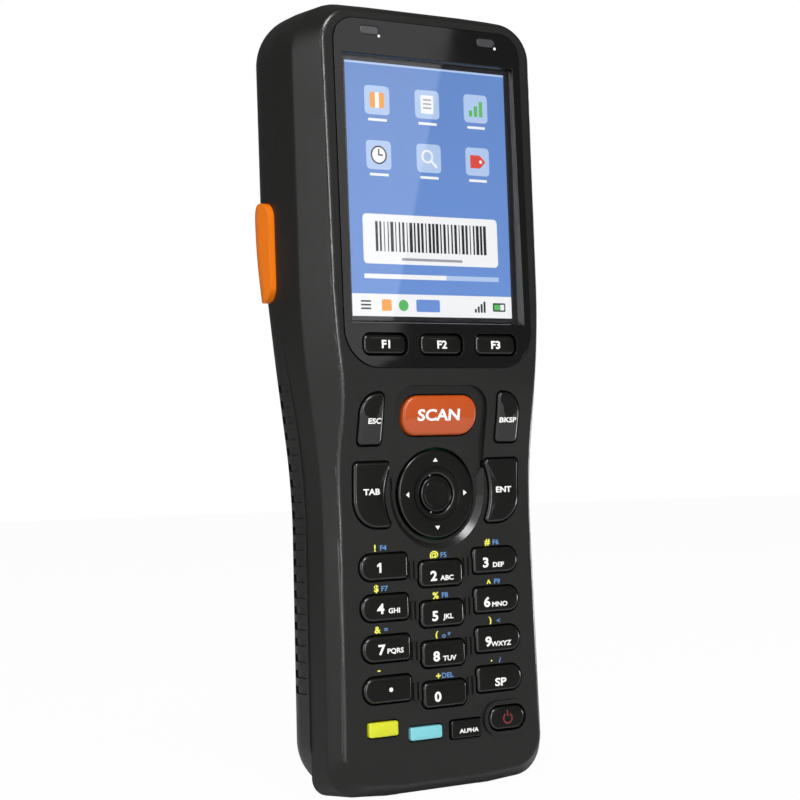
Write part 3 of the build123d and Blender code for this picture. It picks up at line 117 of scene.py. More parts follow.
class TerminalSizes(bpy.types.PropertyGroup):
    key_edge: length_setting("Key edge radius", "Rounding of a key's upper edge", 0.7 * MM, 0.05 * MM)
    key_crown: length_setting(
        "Key crown", "How far a key's middle stands above its rounded edge", 0.14 * MM
    )
    housing_edge: length_setting(
        "Housing edge radius", "Rounding of the sharp edges of the moulded halves", 0.12 * MM, 0.01 * MM
    )
    print_lift: length_setting(
        "Print thickness", "How far printed legends stand above the plastic", 0.02 * MM, 0.005 * MM
    )
    digit_height: length_setting("Digit height", "Height of the digits on the number keys", 1.9 * MM)
    letter_height: length_setting(
        "Letter height", "Height of the small letters beside the digits", 0.95 * MM
    )
    grain_pitch: length_setting(
        "Grain pitch", "Distance between the bumps of the moulded texture", 0.28 * MM, 0.05 * MM
    )


class TerminalColours(bpy.types.PropertyGroup):
    housing: colour_setting("Housing", "Moulded black of the two halves", (0.0085, 0.0082, 0.0077))
    keys: colour_setting("Keys", "Satin black of the keys", (0.0045, 0.0044, 0.004))
    bezel: colour_setting("Bezel", "Glossy black round the display", (0.0045, 0.0044, 0.0043))
    scan_key: colour_setting("Scan key", "Orange of the scan key", (0.45, 0.065, 0.005))
    side_button: colour_setting("Side buttons", "Orange of the side buttons", (0.76, 0.17, 0.003))
    yellow_key: colour_setting("Yellow key", "Colour of the yellow key", (0.60, 0.62, 0.02))
    blue_key: colour_setting("Blue key", "Colour of the pale blue key", (0.19, 0.55, 0.61))
    legend: colour_setting("Legends", "White of the printed legends", (0.85, 0.85, 0.83))
    yellow_print: colour_setting("Yellow print", "Small yellow symbols", (0.8, 0.78, 0.1))
    blue_print: colour_setting("Blue print", "Small blue symbols", (0.1, 0.24, 0.5))
    screen: colour_setting("Screen", "Background of the lit display", (0.14, 0.29, 0.70))


class TerminalStage(bpy.types.PropertyGroup):
    surround: bpy.props.FloatProperty(
        name="Surround", description="Brightness that the surroundings add", default=0.13, min=0.0
    )
    side_power: power_setting("Side light", "Power of the tall soft light at the left", 4.8)
    strip_power: power_setting("Strip light", "Power of the narrow light that lines the rims", 5.5)
    top_power: power_setting("Top light", "Power of the light above the front", 5.5)
    rim_power: power_setting("Rim light", "Power of the light behind the right side", 2.5)
    glint_power: power_setting("Glint light", "Power of the small low light at the right", 0.1)
    panel_power: power_setting(
        "Reflected panel", "Power of the panel that shines in the display's gloss", 0.95
    )


def sizes():
    return bpy.context.scene.terminal_sizes


def colours():
    return bpy.context.scene.terminal_colours


# Node groups and materials

BLACK = (0.0, 0.0, 0.0, 1.0)
WHITE = (1.0, 1.0, 1.0, 1.0)
METAL_GRAIN_DENSITY = 6000.0


def set_inputs(node, **values):
    """Gives a node's inputs their values. A low line in a name stands for a space."""
    for name, value in values.items():
        node.inputs[name.replace("_", " ")].default_value = value
    return node


def add_node(tree, kind, **values):
    return set_inputs(tree.nodes.new(kind), **values)


def join(tree, *wires):
    """Links nodes, each wire given as (node, output, node, input)."""
    for source, output, target, entry in wires:
        tree.links.new(source.outputs[output], target.inputs[entry])


def new_group(name, kind, inputs, outputs):
    """A node group with sockets as (name, kind, default), its first node and its last."""
    group = bpy.data.node_groups.new(name, kind)
    for in_out, sockets in (("INPUT", inputs), ("OUTPUT", outputs)):
        for label, socket_kind, *default in sockets:
            socket = group.interface.new_socket(
                name=label, in_out=in_out, socket_type=f"NodeSocket{socket_kind}"
            )
            if default:
                socket.default_value = default[0]
    return group, group.nodes.new("NodeGroupInput"), group.nodes.new("NodeGroupOutput")


def made_once(kind):
    """Makes each named thing of a kind once, and gives the same one after that."""

    def once(make):
        def find_or_make(name, *values, **named_values):
            return getattr(bpy.data, kind).get(name) or make(name, *values, **named_values)

        return find_or_make

    return once


@made_once("node_groups")
def grain_group(name):
    """Fine moulded grain: a height for bumps and a slow tone that changes over the surface."""
    inputs = (("Vector", "Vector"), ("Density", "Float", 3500.0))
    outputs = (("Height", "Float"), ("Tone", "Float"))
    group, start, end = new_group(name, "ShaderNodeTree", inputs, outputs)
    fine = add_node(group, "ShaderNodeTexNoise", Detail=2.0, Roughness=0.6)
    slow = add_node(group, "ShaderNodeTexNoise", Scale=60.0, Detail=3.0, Roughness=0.5)
    join(
        group,
        (start, "Vector", fine, "Vector"),
        (start, "Density", fine, "Scale"),
        (start, "Vector", slow, "Vector"),
        (fine, "Fac", end, "Height"),
        (slow, "Fac", end, "Tone"),
    )
    return group


@made_once("node_groups")
def handling_group(name):
    """Smudges and polish from hands: a roughness that changes slowly over the surface."""
    inputs = (("Vector", "Vector"), ("Scale", "Float", 90.0), ("Low", "Float", 0.3), ("High", "Float", 0.5))
    group, start, end = new_group(name, "ShaderNodeTree", inputs, [("Roughness", "Float")])
    smudge = add_node(group, "ShaderNodeTexNoise", Detail=4.0, Roughness=0.65, Distortion=0.4)
    spread = add_node(group, "ShaderNodeMapRange", From_Min=0.3, From_Max=0.7)
    join(
        group,
        (start, "Vector", smudge, "Vector"),
        (start, "Scale", smudge, "Scale"),
        (smudge, "Fac", spread, "Value"),
        (start, "Low", spread, "To Min"),
        (start, "High", spread, "To Max"),
        (spread, "Result", end, "Roughness"),
    )
    return group


def new_material(name):
    """A material, its node tree and its surface shader."""
    material = bpy.data.materials.new(name)
    material.use_nodes = True
    tree = material.node_tree
    tree.nodes.clear()
    shader = tree.nodes.new("ShaderNodeBsdfPrincipled")
    output = tree.nodes.new("ShaderNodeOutputMaterial")
    join(tree, (shader, "BSDF", output, "Surface"))
    return material, tree, shader


def tone_mix(tree, factor, dark, light):
    """A colour between two, set by a mask."""
    mix = tree.nodes.new("ShaderNodeMix")
    mix.data_type = "RGBA"
    mix.inputs[6].default_value = (*dark, 1.0)
    mix.inputs[7].default_value = (*light, 1.0)
    tree.links.new(factor, mix.inputs[0])
    return mix.outputs[2]


def on_surface(tree, group, **values):
    """A node group that follows the object's own coordinates."""
    place = tree.nodes.new("ShaderNodeTexCoord")
    node = tree.nodes.new("ShaderNodeGroup")
    node.node_tree = group
    join(tree, (place, "Object", node, "Vector"))
    return set_inputs(node, **values)


def add_grain(tree, shader, density, bump, dark, light):
    """Gives a shader the grain's bumps and a base colour between two tones."""
    grain = on_surface(tree, grain_group("Moulded grain"), Density=density)
    relief = add_node(tree, "ShaderNodeBump", Strength=1.0, Distance=bump)
    tree.links.new(tone_mix(tree, grain.outputs["Tone"], dark, light), shader.inputs["Base Color"])
    join(tree, (grain, "Height", relief, "Height"), (relief, "Normal", shader, "Normal"))


def add_handling(tree, shader, low, high):
    """Gives a shader a roughness between two values, from handling marks."""
    marks = on_surface(tree, handling_group("Handling marks"), Low=low, High=high)
    join(tree, (marks, "Roughness", shader, "Roughness"))


@made_once("materials")
def moulded(name, colour, low_rough, high_rough, bump, variation=0.12, specular=0.5):
    """Moulded plastic or rubber with grain, slow colour changes and handling marks."""
    material, tree, shader = new_material(name)
    dark = [channel * (1 - variation) for channel in colour]
    light = [min(channel * (1 + variation), 1.0) for channel in colour]
    add_grain(tree, shader, 1.0 / sizes().grain_pitch, bump, dark, light)
    add_handling(tree, shader, low_rough, high_rough)
    set_inputs(shader, Specular_IOR_Level=specular)
    return material


@made_once("materials")
def metal(name, colour, roughness):
    """Plain metal with a fine grain."""
    material, tree, shader = new_material(name)
    dark = [channel * 0.85 for channel in colour]
    add_grain(tree, shader, METAL_GRAIN_DENSITY, 0.002 * MM, dark, colour)
    set_inputs(shader, Metallic=1.0, Roughness=roughness)
    return material


@made_once("materials")
def glass(name, colour):
    """Clear or tinted glass with faint handling marks."""
    material, tree, shader = new_material(name)
    add_handling(tree, shader, 0.01, 0.02)
    set_inputs(shader, Base_Color=(*colour, 1.0), Transmission_Weight=1.0, IOR=1.45)
    return material


@made_once("materials")
def lit(name, low_colour, high_colour, low_z, high_z):
    """A lit part of the display, whose colour changes from its lower to its upper end."""
    material, tree, shader = new_material(name)
    place = tree.nodes.new("ShaderNodeTexCoord")
    split = tree.nodes.new("ShaderNodeSeparateXYZ")
    spread = add_node(tree, "ShaderNodeMapRange", From_Min=low_z, From_Max=high_z)
    join(tree, (place, "Object", split, "Vector"), (split, "Z", spread, "Value"))
    blend = tone_mix(tree, spread.outputs["Result"], low_colour, high_colour)
    tree.links.new(blend, shader.inputs["Emission Color"])
    set_inputs(shader, Base_Color=BLACK, Emission_Strength=1.0, Roughness=0.6)
    return material


# Finishes: where a piece has rounded rims, one for its faces and a smoother one for its rims


def housing_plastic():
    colour = colours().housing
    faces = moulded("housing plastic", colour, 0.36, 0.44, 0.014 * MM, specular=0.3)
    rims = moulded("housing rim", colour, 0.22, 0.28, 0.005 * MM, specular=0.7)
    return [faces, rims]


def key_plastic():
    colour = colours().keys
    faces = moulded("key plastic", colour, 0.36, 0.44, 0.003 * MM, specular=0.14)
    rims = moulded("key rim", colour, 0.16, 0.22, 0.001 * MM, specular=0.6)
    return [faces, rims]


def coloured(name, colour):
    """Satin coloured plastic."""
    faces = moulded(name, colour, 0.3, 0.38, 0.002 * MM, variation=0.04, specular=0.3)
    rims = moulded(f"{name} rim", colour, 0.16, 0.22, 0.001 * MM, variation=0.04, specular=0.7)
    return [faces, rims]


def rubber():
    return moulded("soft rubber", (0.008, 0.008, 0.008), 0.45, 0.6, 0.01 * MM)


def bezel_gloss():
    return moulded("bezel gloss", colours().bezel, 0.03, 0.07, 0.0, variation=0.1)


def light_pipe():
    return moulded("light pipe", (0.05, 0.05, 0.055), 0.08, 0.15, 0.0)


def inner_plastic():
    return moulded("inner plastic", (0.02, 0.02, 0.022), 0.45, 0.6, 0.01 * MM)


def print_paint(name, colour):
    return moulded(name, colour, 0.45, 0.55, 0.0, variation=0.04)


def legend_white():
    return print_paint("legend white", colours().legend)


# Mesh helpers

SAME_PLACE = 0.001 * MM
FLAT_TURN = math.radians(0.3)
SHARP_DEGREES = 35.0
CAP_SHARP_DEGREES = 50.0
TURNED_SHARP_DEGREES = 40.0
RIM_TURN = math.radians(30)
CAP_TURN = math.radians(20)
ON_OUTLINE = 0.08 * MM
ROUND_STEPS = 5
CAP_SKIRT = 2.6 * MM
CAP_RIM_LEAN = 12.0
CROWN_SHARES = (0.86, 0.68, 0.45, 0.2, 0.0)
LATHE_CORNERS = 96


def add_object(name, data):
    """A new object in the scene's own collection."""
    made = bpy.data.objects.new(name, data)
    bpy.context.scene.collection.objects.link(made)
    return made


def evaluated(item):
    """An object as its modifiers leave it."""
    return item.evaluated_get(bpy.context.evaluated_depsgraph_get())


def merged(node):
    """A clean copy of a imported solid's mesh: corners joined and flat faces made whole."""
    copy = bmesh.new()
    copy.from_mesh(frame["nodes"][node].data)
    bmesh.ops.remove_doubles(copy, verts=copy.verts, dist=SAME_PLACE)
    bmesh.ops.dissolve_limit(
        copy, angle_limit=FLAT_TURN, verts=copy.verts, edges=copy.edges, use_dissolve_boundaries=False
    )
    return copy


def sharpen(copy, degrees):
    """Smooth shading, with a crease wherever the surface turns by more than the angle."""
    limit = math.radians(degrees)
    for face in copy.faces:
        face.smooth = True
    for edge in copy.edges:
        edge.smooth = edge.is_manifold and edge.calc_face_angle(0.0) < limit


def mesh_object(name, copy, materials):
    """An object with a finished mesh and its materials."""
    mesh = bpy.data.meshes.new(name)
    copy.to_mesh(mesh)
    copy.free()
    for material in materials:
        mesh.materials.append(material)
    return add_object(name, mesh)


def new_piece(name, copy, materials, body, replaced=()):
    """A finished mesh with the given materials that rides on a body and hides the solids it stands for."""
    piece = mesh_object(name, copy, materials)
    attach(piece, body)
    if replaced:
        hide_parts(*replaced)
    return piece


def mark_rim_faces(copy, low, high=180.0, lowest_z=-1.0):
    """Gives the second finish to faces that lean from the front by between two angles."""
    copy.normal_update()
    for face in copy.faces:
        lean = math.degrees(math.acos(max(-1.0, min(1.0, -face.normal.y))))
        if low < lean < high and face.calc_center_median().z > lowest_z:
            face.material_index = 1


def add_bevel(piece, name, limit, width, segments):
    """Rounds edges, with the piece's last finish on what it rounds."""
    bevel = piece.modifiers.new(name, "BEVEL")
    bevel.limit_method = limit
    bevel.width = width
    bevel.segments = segments
    bevel.material = len(piece.data.materials) - 1
    return bevel


def soften(piece, width, segments=2):
    """Rounds a piece's sharp edges and evens out its shading."""
    bevel = add_bevel(piece, "Rounded edges", "ANGLE", width, segments)
    bevel.angle_limit = math.radians(SHARP_DEGREES)
    even = piece.modifiers.new("Even shading", "WEIGHTED_NORMAL")
    even.keep_sharp = True
    return piece


def outside_rounded(x, z, centre, width, height, corner):
    """How far a place lies outside a rounded rectangle, all in metres."""
    across = abs(x - centre[0]) - width / 2 + corner
    up = abs(z - centre[1]) - height / 2 + corner
    return math.hypot(max(across, 0.0), max(up, 0.0)) + min(max(across, up), 0.0) - corner


def mark_rims(copy, distances):
    """Marks the convex edges that lie on any of the outlines given as distance functions."""
    weight = copy.edges.layers.float.new("bevel_weight_edge")
    for edge in copy.edges:
        if not edge.is_convex or edge.calc_face_angle(0.0) < RIM_TURN:
            continue
        ends = [vertex.co for vertex in edge.verts]
        for distance in distances:
            if all(abs(distance(end.x, end.z)) < ON_OUTLINE for end in ends):
                edge[weight] = 1.0


def dress(node, name, materials, body, edge=None, segments=2):
    """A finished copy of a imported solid, with rounded edges and clean shading."""
    copy = merged(node)
    sharpen(copy, SHARP_DEGREES)
    piece = new_piece(name, copy, materials, body, [node])
    return soften(piece, edge or sizes().housing_edge, segments)


# Rows of like pieces, grown by geometry nodes


def enabled(sockets, name):
    return next(socket for socket in sockets if socket.name == name and socket.enabled)


@made_once("node_groups")
def row_group(name):
    """A row of bars: count, start, step and size, with widths that vary between two shares."""
    inputs = (
        ("Count", "Int", 10),
        ("Start", "Vector"),
        ("Step", "Vector"),
        ("Size", "Vector"),
        ("Narrowest", "Float", 1.0),
        ("Widest", "Float", 1.0),
        ("Seed", "Int", 1),
        ("Material", "Material"),
    )
    group, start, end = new_group(name, "GeometryNodeTree", inputs, [("Geometry", "Geometry")])
    line = group.nodes.new("GeometryNodeMeshLine")
    line.mode = "OFFSET"
    bar = group.nodes.new("GeometryNodeMeshCube")
    width = group.nodes.new("FunctionNodeRandomValue")
    scale = add_node(group, "ShaderNodeCombineXYZ", Y=1.0, Z=1.0)
    spread = group.nodes.new("GeometryNodeInstanceOnPoints")
    real = group.nodes.new("GeometryNodeRealizeInstances")
    painted = group.nodes.new("GeometryNodeSetMaterial")
    for source, entry in (("Narrowest", "Min"), ("Widest", "Max"), ("Seed", "Seed")):
        group.links.new(start.outputs[source], enabled(width.inputs, entry))
    group.links.new(enabled(width.outputs, "Value"), scale.inputs["X"])
    join(
        group,
        (start, "Count", line, "Count"),
        (start, "Start", line, "Start Location"),
        (start, "Step", line, "Offset"),
        (start, "Size", bar, "Size"),
        (line, "Mesh", spread, "Points"),
        (bar, "Mesh", spread, "Instance"),
        (scale, "Vector", spread, "Scale"),
        (spread, "Instances", real, "Geometry"),
        (real, "Geometry", painted, "Geometry"),
        (start, "Material", painted, "Material"),
        (painted, "Geometry", end, "Geometry"),
    )
    return group


def row_of_bars(name, values, body):
    """A finished row: the modifier makes the bars and a plain mesh keeps them."""
    group = row_group("Row of bars")
    grower = add_object(name, bpy.data.meshes.new(name))
    modifier = grower.modifiers.new("Row", "NODES")
    modifier.node_group = group
    for socket in group.interface.items_tree:
        if socket.name in values:
            modifier[socket.identifier] = values[socket.name]
    mesh = bpy.data.meshes.new_from_object(evaluated(grower))
    bpy.data.objects.remove(grower)
    row = add_object(name, mesh)
    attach(row, body)


def paint(node, material):
    """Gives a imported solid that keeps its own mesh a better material."""
    materials = frame["nodes"][node].data.materials
    materials.clear()
    materials.append(material)


def surface_of(piece):
    """A search tree for the finished surface of a piece, its modifiers included."""
    return BVHTree.FromObject(evaluated(piece), bpy.context.evaluated_depsgraph_get())


def surface_y(tree, x, z, missing):
    """The Y of the front surface at a place seen from the front."""
    hit = tree.ray_cast(Vector((x, -1.0, z)), Vector((0, 1, 0)))[0]
    return missing if hit is None else hit.y


# Key caps


def front_region(copy):
    """The faces of a key's cap that face the front, found from the foremost one."""
    start = min(copy.faces, key=lambda face: face.calc_center_median().y)
    region = {start}
    waiting = [start]
    while waiting:
        face = waiting.pop()
        for edge in face.edges:
            for other in edge.link_faces:
                if other not in region and edge.calc_face_angle(math.pi) < CAP_TURN:
                    region.add(other)
                    waiting.append(other)
    return region


def rim_loop(copy, region):
    """The corners round a region of faces, in order."""
    rim = [edge for edge in copy.edges if sum(face in region for face in edge.link_faces) == 1]
    after = {}
    for edge in rim:
        a, b = edge.verts
        after.setdefault(a, []).append(b)
        after.setdefault(b, []).append(a)
    first = rim[0].verts[0]
    loop = [first]
    previous, current = first, after[first][0]
    while current is not first:
        loop.append(current)
        steps = [vertex for vertex in after[current] if vertex is not previous]
        previous, current = current, steps[0]
    points = [vertex.co.copy() for vertex in loop]
    area = sum(a.x * b.z - b.x * a.z for a, b in zip(points, points[1:] + points[:1]))
    return points if area > 0 else points[::-1]


def drawn_in(points, amount):
    """A front-view loop drawn in by an amount, square to its edges."""
    count = len(points)
    result = []
    for index, point in enumerate(points):
        before, after = points[index - 1], points[(index + 1) % count]
        along = Vector((after.x - before.x, 0, after.z - before.z)).normalized()
        inward = Vector((-along.z, 0, along.x))
        result.append(point + inward * amount)
    return result


def cap_rings(points, edge, crown, tree):
    """The rings of a key cap from its hidden skirt over the rounded edge to its crowned middle."""
    rings = [[point + Vector((0, CAP_SKIRT, 0)) for point in points]]
    for step in range(ROUND_STEPS + 1):
        turn = math.pi / 2 * step / ROUND_STEPS
        ring = drawn_in(points, edge * (1 - math.cos(turn)))
        rings.append(laid_on(tree, ring, edge * (1 - math.sin(turn)) + crown))
    top = rings[-1]
    middle = sum(top, Vector()) / len(top)
    for share in CROWN_SHARES:
        ring = [middle.lerp(point, share) for point in top]
        rings.append(laid_on(tree, ring, crown * share * share))
    return rings[:-1], rings[-1][0]


def laid_on(tree, points, depth):
    """Points moved along Y to lie at a depth below a surface."""
    laid = []
    for point in points:
        y = surface_y(tree, point.x, point.z, point.y) + depth
        laid.append(Vector((point.x, y, point.z)))
    return laid


def join_rings(copy, rings):
    """Faces between each ring of corners and the next."""
    for lower, upper in zip(rings, rings[1:]):
        for index in range(len(lower)):
            copy.faces.new((lower[index - 1], lower[index], upper[index], upper[index - 1]))


def bridge(copy, rings, middle):
    """Faces between neighbouring rings, a fan at the middle and a closed back."""
    rows = [[copy.verts.new(point) for point in ring] for ring in rings]
    join_rings(copy, rows)
    tip = copy.verts.new(middle)
    for index in range(len(rows[-1])):
        copy.faces.new((rows[-1][index - 1], rows[-1][index], tip))
    copy.faces.new(rows[0][::-1])
    bmesh.ops.recalc_face_normals(copy, faces=copy.faces)


def cap(node, edge, crown):
    """A sculpted key cap on the outline of its solid."""
    solid = merged(node)
    solid.normal_update()
    points = rim_loop(solid, front_region(solid))
    tree = BVHTree.FromBMesh(solid)
    solid.free()
    copy = bmesh.new()
    bridge(copy, *cap_rings(points, edge, crown, tree))
    mark_rim_faces(copy, CAP_RIM_LEAN)
    sharpen(copy, CAP_SHARP_DEGREES)
    return copy


# Shapes turned about an axis along Y


def lathed(copy, centre, profile):
    """A ring-shaped form turned from (radius, y) points, the last joined to the first."""
    rows = []
    for radius, y in profile:
        ring = []
        for index in range(LATHE_CORNERS):
            turn = 2 * math.pi * index / LATHE_CORNERS
            x, z = centre[0] + radius * math.cos(turn), centre[1] + radius * math.sin(turn)
            ring.append(copy.verts.new((x, y, z)))
        rows.append(ring)
    join_rings(copy, rows + rows[:1])


def rounded_rim(radius, top, edge):
    """Profile points over a rounded outer edge, from the side up to the top."""
    points = []
    for step in range(ROUND_STEPS + 1):
        turn = math.pi / 2 * step / ROUND_STEPS
        points.append((radius - edge + edge * math.cos(turn), top + edge - edge * math.sin(turn)))
    return points


def lowered(copy, top, amount):
    """Moves the front face of a solid back, to make room for a finished one."""
    for vertex in copy.verts:
        if vertex.co.y < top + amount / 2:
            vertex.co.y += amount


# Printed marks. A mark is (points, faces, size) about its own middle, in metres.

DIGIT_SHARE = 0.73
LONGEST_EDGE = 0.45 * MM
MOST_CUTS = 4
SAME_CORNER = 1e-7
PRINT_SINK = 0.05 * MM


def letters(text, height, weight, stretch):
    """A mark of text with the given digit height, made bolder and wider by two shares."""
    curve = bpy.data.curves.new("letters", "FONT")
    curve.body = text
    curve.size = height / DIGIT_SHARE
    curve.offset = weight * height
    curve.resolution_u = 3
    curve.align_x = "CENTER"
    writing = add_object("letters", curve)
    mesh = bpy.data.meshes.new_from_object(evaluated(writing))
    bpy.data.objects.remove(writing)
    bpy.data.curves.remove(curve)
    return flat_faces(mesh, stretch)


def flat_faces(mesh, stretch):
    """The corners and faces of a flat mesh, widened, its middle moved to the origin."""
    points = [Vector((vertex.co.x * stretch, vertex.co.y)) for vertex in mesh.vertices]
    faces = [tuple(polygon.vertices) for polygon in mesh.polygons]
    bpy.data.meshes.remove(mesh)
    low = Vector((min(point.x for point in points), min(point.y for point in points)))
    high = Vector((max(point.x for point in points), max(point.y for point in points)))
    middle = (low + high) / 2
    return [point - middle for point in points], faces, high - low


def polygon_mark(points):
    """A single face through points given in millimetres."""
    return [Vector(point) * MM for point in points], [tuple(range(len(points)))], Vector((0, 0))


def disc_mark(radius, corners=20):
    turns = [2 * math.pi * index / corners for index in range(corners)]
    return polygon_mark([(radius * math.cos(turn), radius * math.sin(turn)) for turn in turns])


def ring_mark(outer, inner, start=0.0, end=2 * math.pi, steps=24):
    """A ring, or a part of one, between two angles."""
    turns = [start + (end - start) * index / steps for index in range(steps + 1)]
    ends = [Vector((math.cos(turn), math.sin(turn))) for turn in turns]
    points = [point * radius * MM for point in ends for radius in (outer, inner)]
    faces = [(2 * i, 2 * i + 2, 2 * i + 3, 2 * i + 1) for i in range(steps)]
    return points, faces, Vector((0, 0))


def box_mark(width, height, corner=0.0):
    """A rectangle about the origin, its corners rounded when a corner size is given."""
    half_width, half_height = width / 2, height / 2
    if corner == 0.0:
        corners = [(1, -1), (1, 1), (-1, 1), (-1, -1)]
        return polygon_mark([(x * half_width, z * half_height) for x, z in corners])
    points = []
    for quarter, (x, z) in enumerate([(1, 1), (-1, 1), (-1, -1), (1, -1)]):
        for step in range(4):
            turn = math.pi / 2 * (quarter + step / 3)
            place_x = x * (half_width - corner) + corner * math.cos(turn)
            place_z = z * (half_height - corner) + corner * math.sin(turn)
            points.append((place_x, place_z))
    return polygon_mark(points)


def add_face(copy, corners):
    """A face through corners, unless the same one is there already."""
    if not copy.faces.get(corners):
        copy.faces.new(corners)


def finely_cut(mark):
    """A mark cut into small triangles, so that it can follow a curved surface."""
    points, faces, _ = mark
    copy = bmesh.new()
    corners = [copy.verts.new((point.x, point.y, 0)) for point in points]
    for face in faces:
        add_face(copy, [corners[index] for index in face])
    bmesh.ops.remove_doubles(copy, verts=copy.verts, dist=SAME_CORNER)
    bmesh.ops.triangulate(copy, faces=copy.faces)
    for _ in range(MOST_CUTS):
        long = [edge for edge in copy.edges if edge.calc_length() > LONGEST_EDGE]
        if not long:
            break
        bmesh.ops.subdivide_edges(copy, edges=long, cuts=1)
        bmesh.ops.triangulate(copy, faces=copy.faces)
    copy.verts.index_update()
    fine_points = [vertex.co.xy.copy() for vertex in copy.verts]
    fine_faces = [tuple(vertex.index for vertex in face.verts) for face in copy.faces]
    copy.free()
    return fine_points, fine_faces


def thicken(copy, depth):
    """Turns flat faces that look to the front into thin closed forms."""
    result = bmesh.ops.extrude_face_region(copy, geom=list(copy.faces))
    backs = [item for item in result["geom"] if isinstance(item, bmesh.types.BMVert)]
    bmesh.ops.translate(copy, verts=backs, vec=(0, depth, 0))
    bmesh.ops.recalc_face_normals(copy, faces=copy.faces)


def place_on(node, shift_x=0.0, shift_z=0.0):
    """A place (x, z) in millimetres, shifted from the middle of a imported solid."""
    centre = node_centre(node)
    return centre.x / MM + shift_x, centre.z / MM + shift_z


def printed(name, marks, tree, body, material):
    """Marks at (x, z) places in millimetres, laid on a surface as one thin closed piece."""
    copy = bmesh.new()
    lift = sizes().print_lift
    for mark, x, z in marks:
        points, faces = finely_cut(mark)
        corners = []
        for point in points:
            place_x, place_z = x * MM + point.x, z * MM + point.y
            y = surface_y(tree, place_x, place_z, 0.0)
            corners.append(copy.verts.new((place_x, y - lift, place_z)))
        for face in faces:
            add_face(copy, [corners[index] for index in face])
    thicken(copy, lift + PRINT_SINK)
    return new_piece(name, copy, [material], body)


# Stage

CAMERA_PLACE = Vector((-192.69, -310.05, 61.49)) * MM
CAMERA_TURN = math.radians(31.58)
CAMERA_TILT = math.radians(2.305)
CAMERA_ROLL = math.radians(-1.98)
CAMERA_LENS = 82.575
FLOOR_RADIUS = 3.0
FLOOR_GLOW = 0.97

# Each light's name, power setting, width, height and place, in metres
LIGHTS = (
    ("Side light", "side_power", 0.5, 1.0, (-0.95, -0.2, 0.3)),
    ("Strip light", "strip_power", 0.17, 0.8, (-0.48, -1.0, 0.25)),
    ("Top light", "top_power", 0.42, 0.3, (-0.25, -0.55, 0.85)),
    ("Rim light", "rim_power", 0.3, 0.7, (0.85, 0.35, 0.05)),
    ("Glint light", "glint_power", 0.06, 0.035, (0.26, -0.035, 0.022)),
)
PANEL_WIDTH = 0.5
PANEL_HEIGHT = 0.6
PANEL_PLACE = (0.1395, -0.612, 0.303)
PANEL_LEAN = math.radians(-14.57)


def make_camera():
    data = bpy.data.cameras.new("Camera")
    data.lens = CAMERA_LENS
    data.sensor_width = 36.0
    data.clip_start = 0.01
    camera = add_object("Camera", data)
    turn = Matrix.Rotation(-CAMERA_TURN, 4, "Z")
    tilt = Matrix.Rotation(math.pi / 2 + CAMERA_TILT, 4, "X")
    roll = Matrix.Rotation(CAMERA_ROLL, 4, "Z")
    camera.matrix_world = Matrix.Translation(CAMERA_PLACE) @ turn @ tilt @ roll
    bpy.context.scene.camera = camera


def area_light(name, width, height, power, placed):
    """A soft rectangular light that shines along -Z of its placing matrix."""
    data = bpy.data.lights.new(name, "AREA")
    data.shape = "RECTANGLE"
    data.size = width
    data.size_y = height
    data.energy = power
    light = add_object(name, data)
    light.matrix_world = placed
    light.visible_camera = False


def aimed(place, target):
    """A placing matrix whose -Z looks from a place at a target, with Y upright."""
    turn = (target - Vector(place)).to_track_quat("-Z", "Y")
    return Matrix.Translation(place) @ turn.to_matrix().to_4x4()


def make_world(strength):
    """Even soft light from all sides, with a white backdrop."""
    world = bpy.data.worlds.new("Studio")
    world.use_nodes = True
    tree = world.node_tree
    tree.nodes.clear()
    soft = add_node(tree, "ShaderNodeBackground", Color=WHITE, Strength=strength)
    backdrop = add_node(tree, "ShaderNodeBackground", Color=WHITE, Strength=1.0)
    path = tree.nodes.new("ShaderNodeLightPath")
    mix = tree.nodes.new("ShaderNodeMixShader")
    output = tree.nodes.new("ShaderNodeOutputWorld")
    join(
        tree,
        (path, "Is Camera Ray", mix, "Fac"),
        (soft, "Background", mix, 1),
        (backdrop, "Background", mix, 2),
        (mix, "Shader", output, "Surface"),
    )
    bpy.context.scene.world = world


def floor_paint():
    """White paint that glows for the camera, so that only a faint shadow shows."""
    material, tree, shader = new_material("studio floor")
    set_inputs(shader, Base_Color=(0.9, 0.9, 0.9, 1.0), Roughness=0.7)
    glow = tree.nodes.new("ShaderNodeEmission")
    path = tree.nodes.new("ShaderNodeLightPath")
    share = tree.nodes.new("ShaderNodeMath")
    share.operation = "MULTIPLY"
    share.inputs[1].default_value = FLOOR_GLOW
    mix = tree.nodes.new("ShaderNodeMixShader")
    output = next(node for node in tree.nodes if node.type == "OUTPUT_MATERIAL")
    join(
        tree,
        (path, "Is Camera Ray", share, 0),
        (share, "Value", mix, "Fac"),
        (shader, "BSDF", mix, 1),
        (glow, "Emission", mix, 2),
        (mix, "Shader", output, "Surface"),
    )
    return material


def make_floor():
    copy = bmesh.new()
    bmesh.ops.create_circle(copy, cap_ends=True, radius=FLOOR_RADIUS, segments=64)
    floor = mesh_object("studio_floor", copy, [floor_paint()])
    floor.location.z = CAD_BOX[0].z


